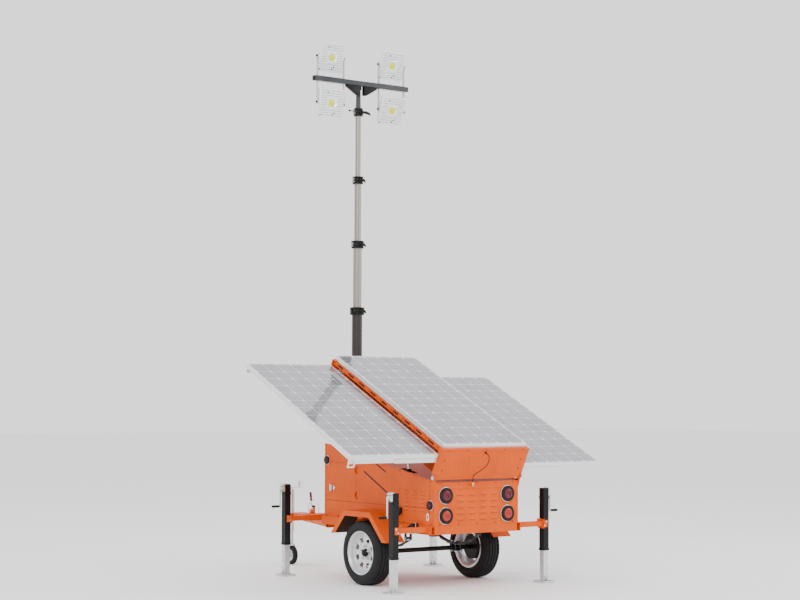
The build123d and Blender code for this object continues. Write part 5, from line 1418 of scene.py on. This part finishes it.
# %% Towing gear
def brake_pieces():
    pivot, tip = at(0, 1.940, 0.575), at(0, 1.974, 0.772)
    line = (tip - pivot).normalized()
    shape = bmesh.new()
    add_bar(shape, pivot, tip - line * 0.06, 0.0065, segments=24)
    add_bar(
        shape, pivot - Vector((0.009, 0, 0)), pivot + Vector((0.009, 0, 0)), 0.014, segments=32,
        bevel=0.002
    )
    add_bar(
        shape, pivot - Vector((0.022, 0, 0)), pivot + Vector((0.022, 0, 0)), 0.006, segments=24,
        bevel=0.001
    )
    lever = finish_piece("brake_lever", shape, "handbrake", "galvanised", RIM_SILVER)
    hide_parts("handbrake_lever")
    grip = bmesh.new()
    outline = [
        (0.0, 0.108), (0.010, 0.108), (0.0125, 0.112), (0.0115, 0.135), (0.0130, 0.160), (0.0130, 0.192),
        (0.010, 0.200), (0.0, 0.2005)
    ]
    add_turned(grip, outline, pivot, line, 32)
    finish_piece("brake_grip", grip, "handbrake", "rubber", GRIP_RED)
    arch = [
        (1.84, 0.546), (1.845, 0.62), (1.88, 0.675), (1.94, 0.695), (2.01, 0.675), (2.04, 0.62), (
            2.045, 0.546
        )
    ]
    guide = [at(0.020, y, z) for y, z in arch]
    bent_rod("brake_guide", guide, 0.004, "chassis", "galvanised", RIM_SILVER)
    stand = bmesh.new()
    add_block(stand, at(-0.030, 1.845, 0.545), at(-0.022, 1.885, 0.640), 0.004)
    finish_piece("brake_upstand", stand, "chassis", "orange_paint", ORANGE)
    knob = bmesh.new()
    add_bar(knob, at(-0.022, 1.865, 0.628), at(-0.006, 1.865, 0.628), 0.005, segments=16)
    bmesh.ops.create_icosphere(
        knob, subdivisions=3, radius=0.013, matrix=Matrix.Translation(at(-0.038, 1.865, 0.628))
    )
    finish_piece("brake_knob", knob, "chassis", "black_plastic", BLACK_PLASTIC)


def coupler_pieces():
    shape = bmesh.new()
    latch = [(2.33, 0.534), (2.345, 0.566), (2.43, 0.584), (2.43, 0.572), (2.37, 0.534)]
    add_plate(shape, [at(-0.010, y, z) for y, z in latch], (0.020, 0, 0), 0.002)
    finish_piece("coupler_latch", shape, "chassis", "galvanised", ZINC_BOLT)
    cap = bmesh.new()
    outline = [(0.0, 0.0), (0.0385, 0.0), (0.0385, 0.004), (0.033, 0.009), (0.020, 0.012), (0.0, 0.0125)]
    add_turned(cap, outline, at(0, 2.410, 0.540), (0, 0, 1), 48)
    finish_piece("coupler_cap", cap, "chassis", "black_paint", BLACK_PAINT)
    turns = [math.tau * count / 12 for count in range(12)]
    for name, side in SIDES:
        middle = at(side * 0.106, 2.250, 0.505)
        ring = [
            middle + Vector((side * 0.002 * math.cos(turn), 0.020 * math.cos(turn), 0.020 * math.sin(turn)))
            for turn in turns
        ]
        bent_rod("chain_ring_" + name, ring, 0.0045, "chassis", "galvanised", ZINC_BOLT, closed=True)
    bolts = bmesh.new()
    for side in (-1, 1):
        for y in (0.985, 1.175):
            add_screw(bolts, at(side * 0.062, y, 0.612), (0, 0, 1), 0.010, 0.009)
        for y in (2.14, 2.26):
            add_screw(bolts, at(side * 0.055, y, 0.540), (0, 0, 1), 0.009, 0.008)
    finish_piece("drawbar_bolts", bolts, "chassis", "galvanised", ZINC_BOLT)


def jockey_pieces():
    centre = at(-0.125, 2.150, 0.100)
    tyre = bmesh.new()
    half = [
        (0.062, -0.020), (0.070, -0.0265), (0.088, -0.0270), (0.097, -0.0220), (0.100, -0.012),
        (0.098, -0.010),
        (0.098, -0.006), (0.100, -0.004),
    ]
    add_turned(tyre, both_halves(half), centre, (1, 0, 0), 64, closed=True)
    piece = finish_piece("jockey_tyre", tyre, "jockey_wheel", "rubber", RUBBER)
    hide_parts("jockey_wheel")
    hub = bmesh.new()
    half = [
        (0.0105, -0.027), (0.022, -0.027), (0.025, -0.020), (0.027, -0.008), (0.050, -0.006),
        (0.0535, -0.018),
        (0.0615, -0.019),
    ]
    add_turned(hub, both_halves(half), centre, (1, 0, 0), 64, closed=True)
    finish_piece("jockey_hub", hub, "jockey_wheel", "rim_silver", RIM_SILVER)
    nuts = bmesh.new()
    for side in (-1, 1):
        add_screw(nuts, centre + Vector((side * 0.0395, 0, 0)), (side, 0, 0), 0.011, 0.007)
    finish_piece("jockey_nuts", nuts, "jockey_leg", "galvanised", ZINC_BOLT)


brake_pieces()
coupler_pieces()
jockey_pieces()
print("towing gear done")

# %% [markdown]
# ## Small fittings on the body
# The last things the eye finds are small: a dark brown sheet under each fender, which is painted shade,
# the bracket of each chock, the latch plate, an oval reflector and a cable box. Each is a few bevelled
# blocks or one turned ring.

# %% Painted fender shade, chock brackets, latch plate, reflector and box
FENDER_LINE = [(0.464, 0.470), (0.2585, 0.6955), (-0.1715, 0.6955), (-0.430, 0.432)]
# Dark brown for the sheets under the fenders: painted shade on the fenders' undersides.
FENDER_SHADE = painted("fender liner brown", (0.050, 0.026, 0.016), (0.035, 0.019, 0.012), 0.8, (0.10, 0.07, 0.05))


def body_fittings():
    # Sheets along each fender's underside, coloured dark brown as painted shade.
    shade_sheet = bmesh.new()
    for side in (-1, 1):
        near, far = side * 0.542, side * 0.7545
        for (y0, z0), (y1, z1) in zip(FENDER_LINE, FENDER_LINE[1:]):
            drop = Vector((0, z1 - z0, y0 - y1)).normalized() * -0.0025
            points = [at(near, y0, z0), at(near, y1, z1), at(near, y1, z1) + drop, at(near, y0, z0) + drop]
            add_plate(shade_sheet, points, (far - near, 0, 0))
    finish_piece("fender_liners", shade_sheet, "chassis", "black_plastic", FENDER_SHADE)
    bracket = bmesh.new()
    for side in (-1, 1):
        add_block(bracket, at(side * 0.541, -0.655, 0.5245), at(side * 0.612, -0.510, 0.5295), 0.001)
        near, far = side * 0.5705, side * 0.5795
        add_block(bracket, at(near, -0.653, 0.530), at(far, -0.6505, 0.622), 0.0008)
        add_block(bracket, at(near, -0.653, 0.6205), at(far, -0.626, 0.623), 0.0008)
    finish_piece("chock_brackets", bracket, "chassis", "galvanised", GALVANISED)
    plate = bmesh.new()
    arrow = [at(-0.5065, 0.806, 0.858), at(-0.5065, 0.806, 0.912), at(-0.5065, 0.770, 0.885)]
    add_plate(plate, arrow, (-0.0025, 0, 0), 0.0007)
    finish_piece("latch_plate", plate, "door", "lamp_white", WHITE_COAT)
    keeper = bmesh.new()
    add_block(keeper, at(-0.5095, 0.815, 0.846), at(-0.5060, 0.846, 0.924), 0.0012)
    finish_piece("latch_seat", keeper, "door", "black_plastic", BLACK_PLASTIC)
    for name, side in SIDES:
        ring = bmesh.new()
        outline = [(0.0, 0.0), (0.030, 0.0), (0.031, 0.0015), (0.028, 0.004), (0.018, 0.0025), (0.0, 0.003)]
        add_turned(ring, outline, (0, 0, 0), (side, 0, 0), 48)
        for face in ring.faces:
            middle = face.calc_center_median()
            face.material_index = 1 if math.hypot(middle.y, middle.z) < 0.018 else 0
        place = Matrix.Translation(at(side * 0.5062, -0.747, 0.679)) @ Matrix.Diagonal((1, 0.62, 1.15, 1))
        finish_piece("reflector_" + name, ring, "chassis", "lamp_white", WHITE_COAT, ORANGE, place=place)
    box = bmesh.new()
    add_block(box, at(-0.534, -0.350, 0.690), at(-0.5060, -0.290, 0.750), 0.005)
    add_bar(box, at(-0.520, -0.320, 0.690), at(-0.520, -0.320, 0.672), 0.007, segments=24, bevel=0.001)
    finish_piece("cable_box", box, "chassis", "black_plastic", BLACK_PLASTIC)


body_fittings()
print("fittings done")

# %% [markdown]
# ## Underneath
# Few people look below, but the springs are clamped to the axle by studs with nuts, and each hanger pin
# ends in a bolt head. The nuts are the same six-sided screw as everywhere else.

# %% Spring nuts
SPRING_X = 0.420


def spring_nuts():
    shape = bmesh.new()
    for side in (-1, 1):
        for stud_x in (-0.031, 0.031):
            for stud_y in (-0.028, 0.028):
                for up, z in ((1, 0.3685), (-1, 0.2755)):
                    add_screw(shape, at(side * SPRING_X + stud_x, stud_y, z), (0, 0, up), 0.0085, 0.008)
        for end in (-0.330, 0.330):
            for face in (-1, 1):
                add_screw(
                    shape, at(side * SPRING_X + face * 0.034, end, 0.4555), (face, 0, 0), 0.010, 0.008
                )
    return finish_piece("spring_nuts", shape, "chassis", "galvanised", ZINC_BOLT)


spring_nuts()
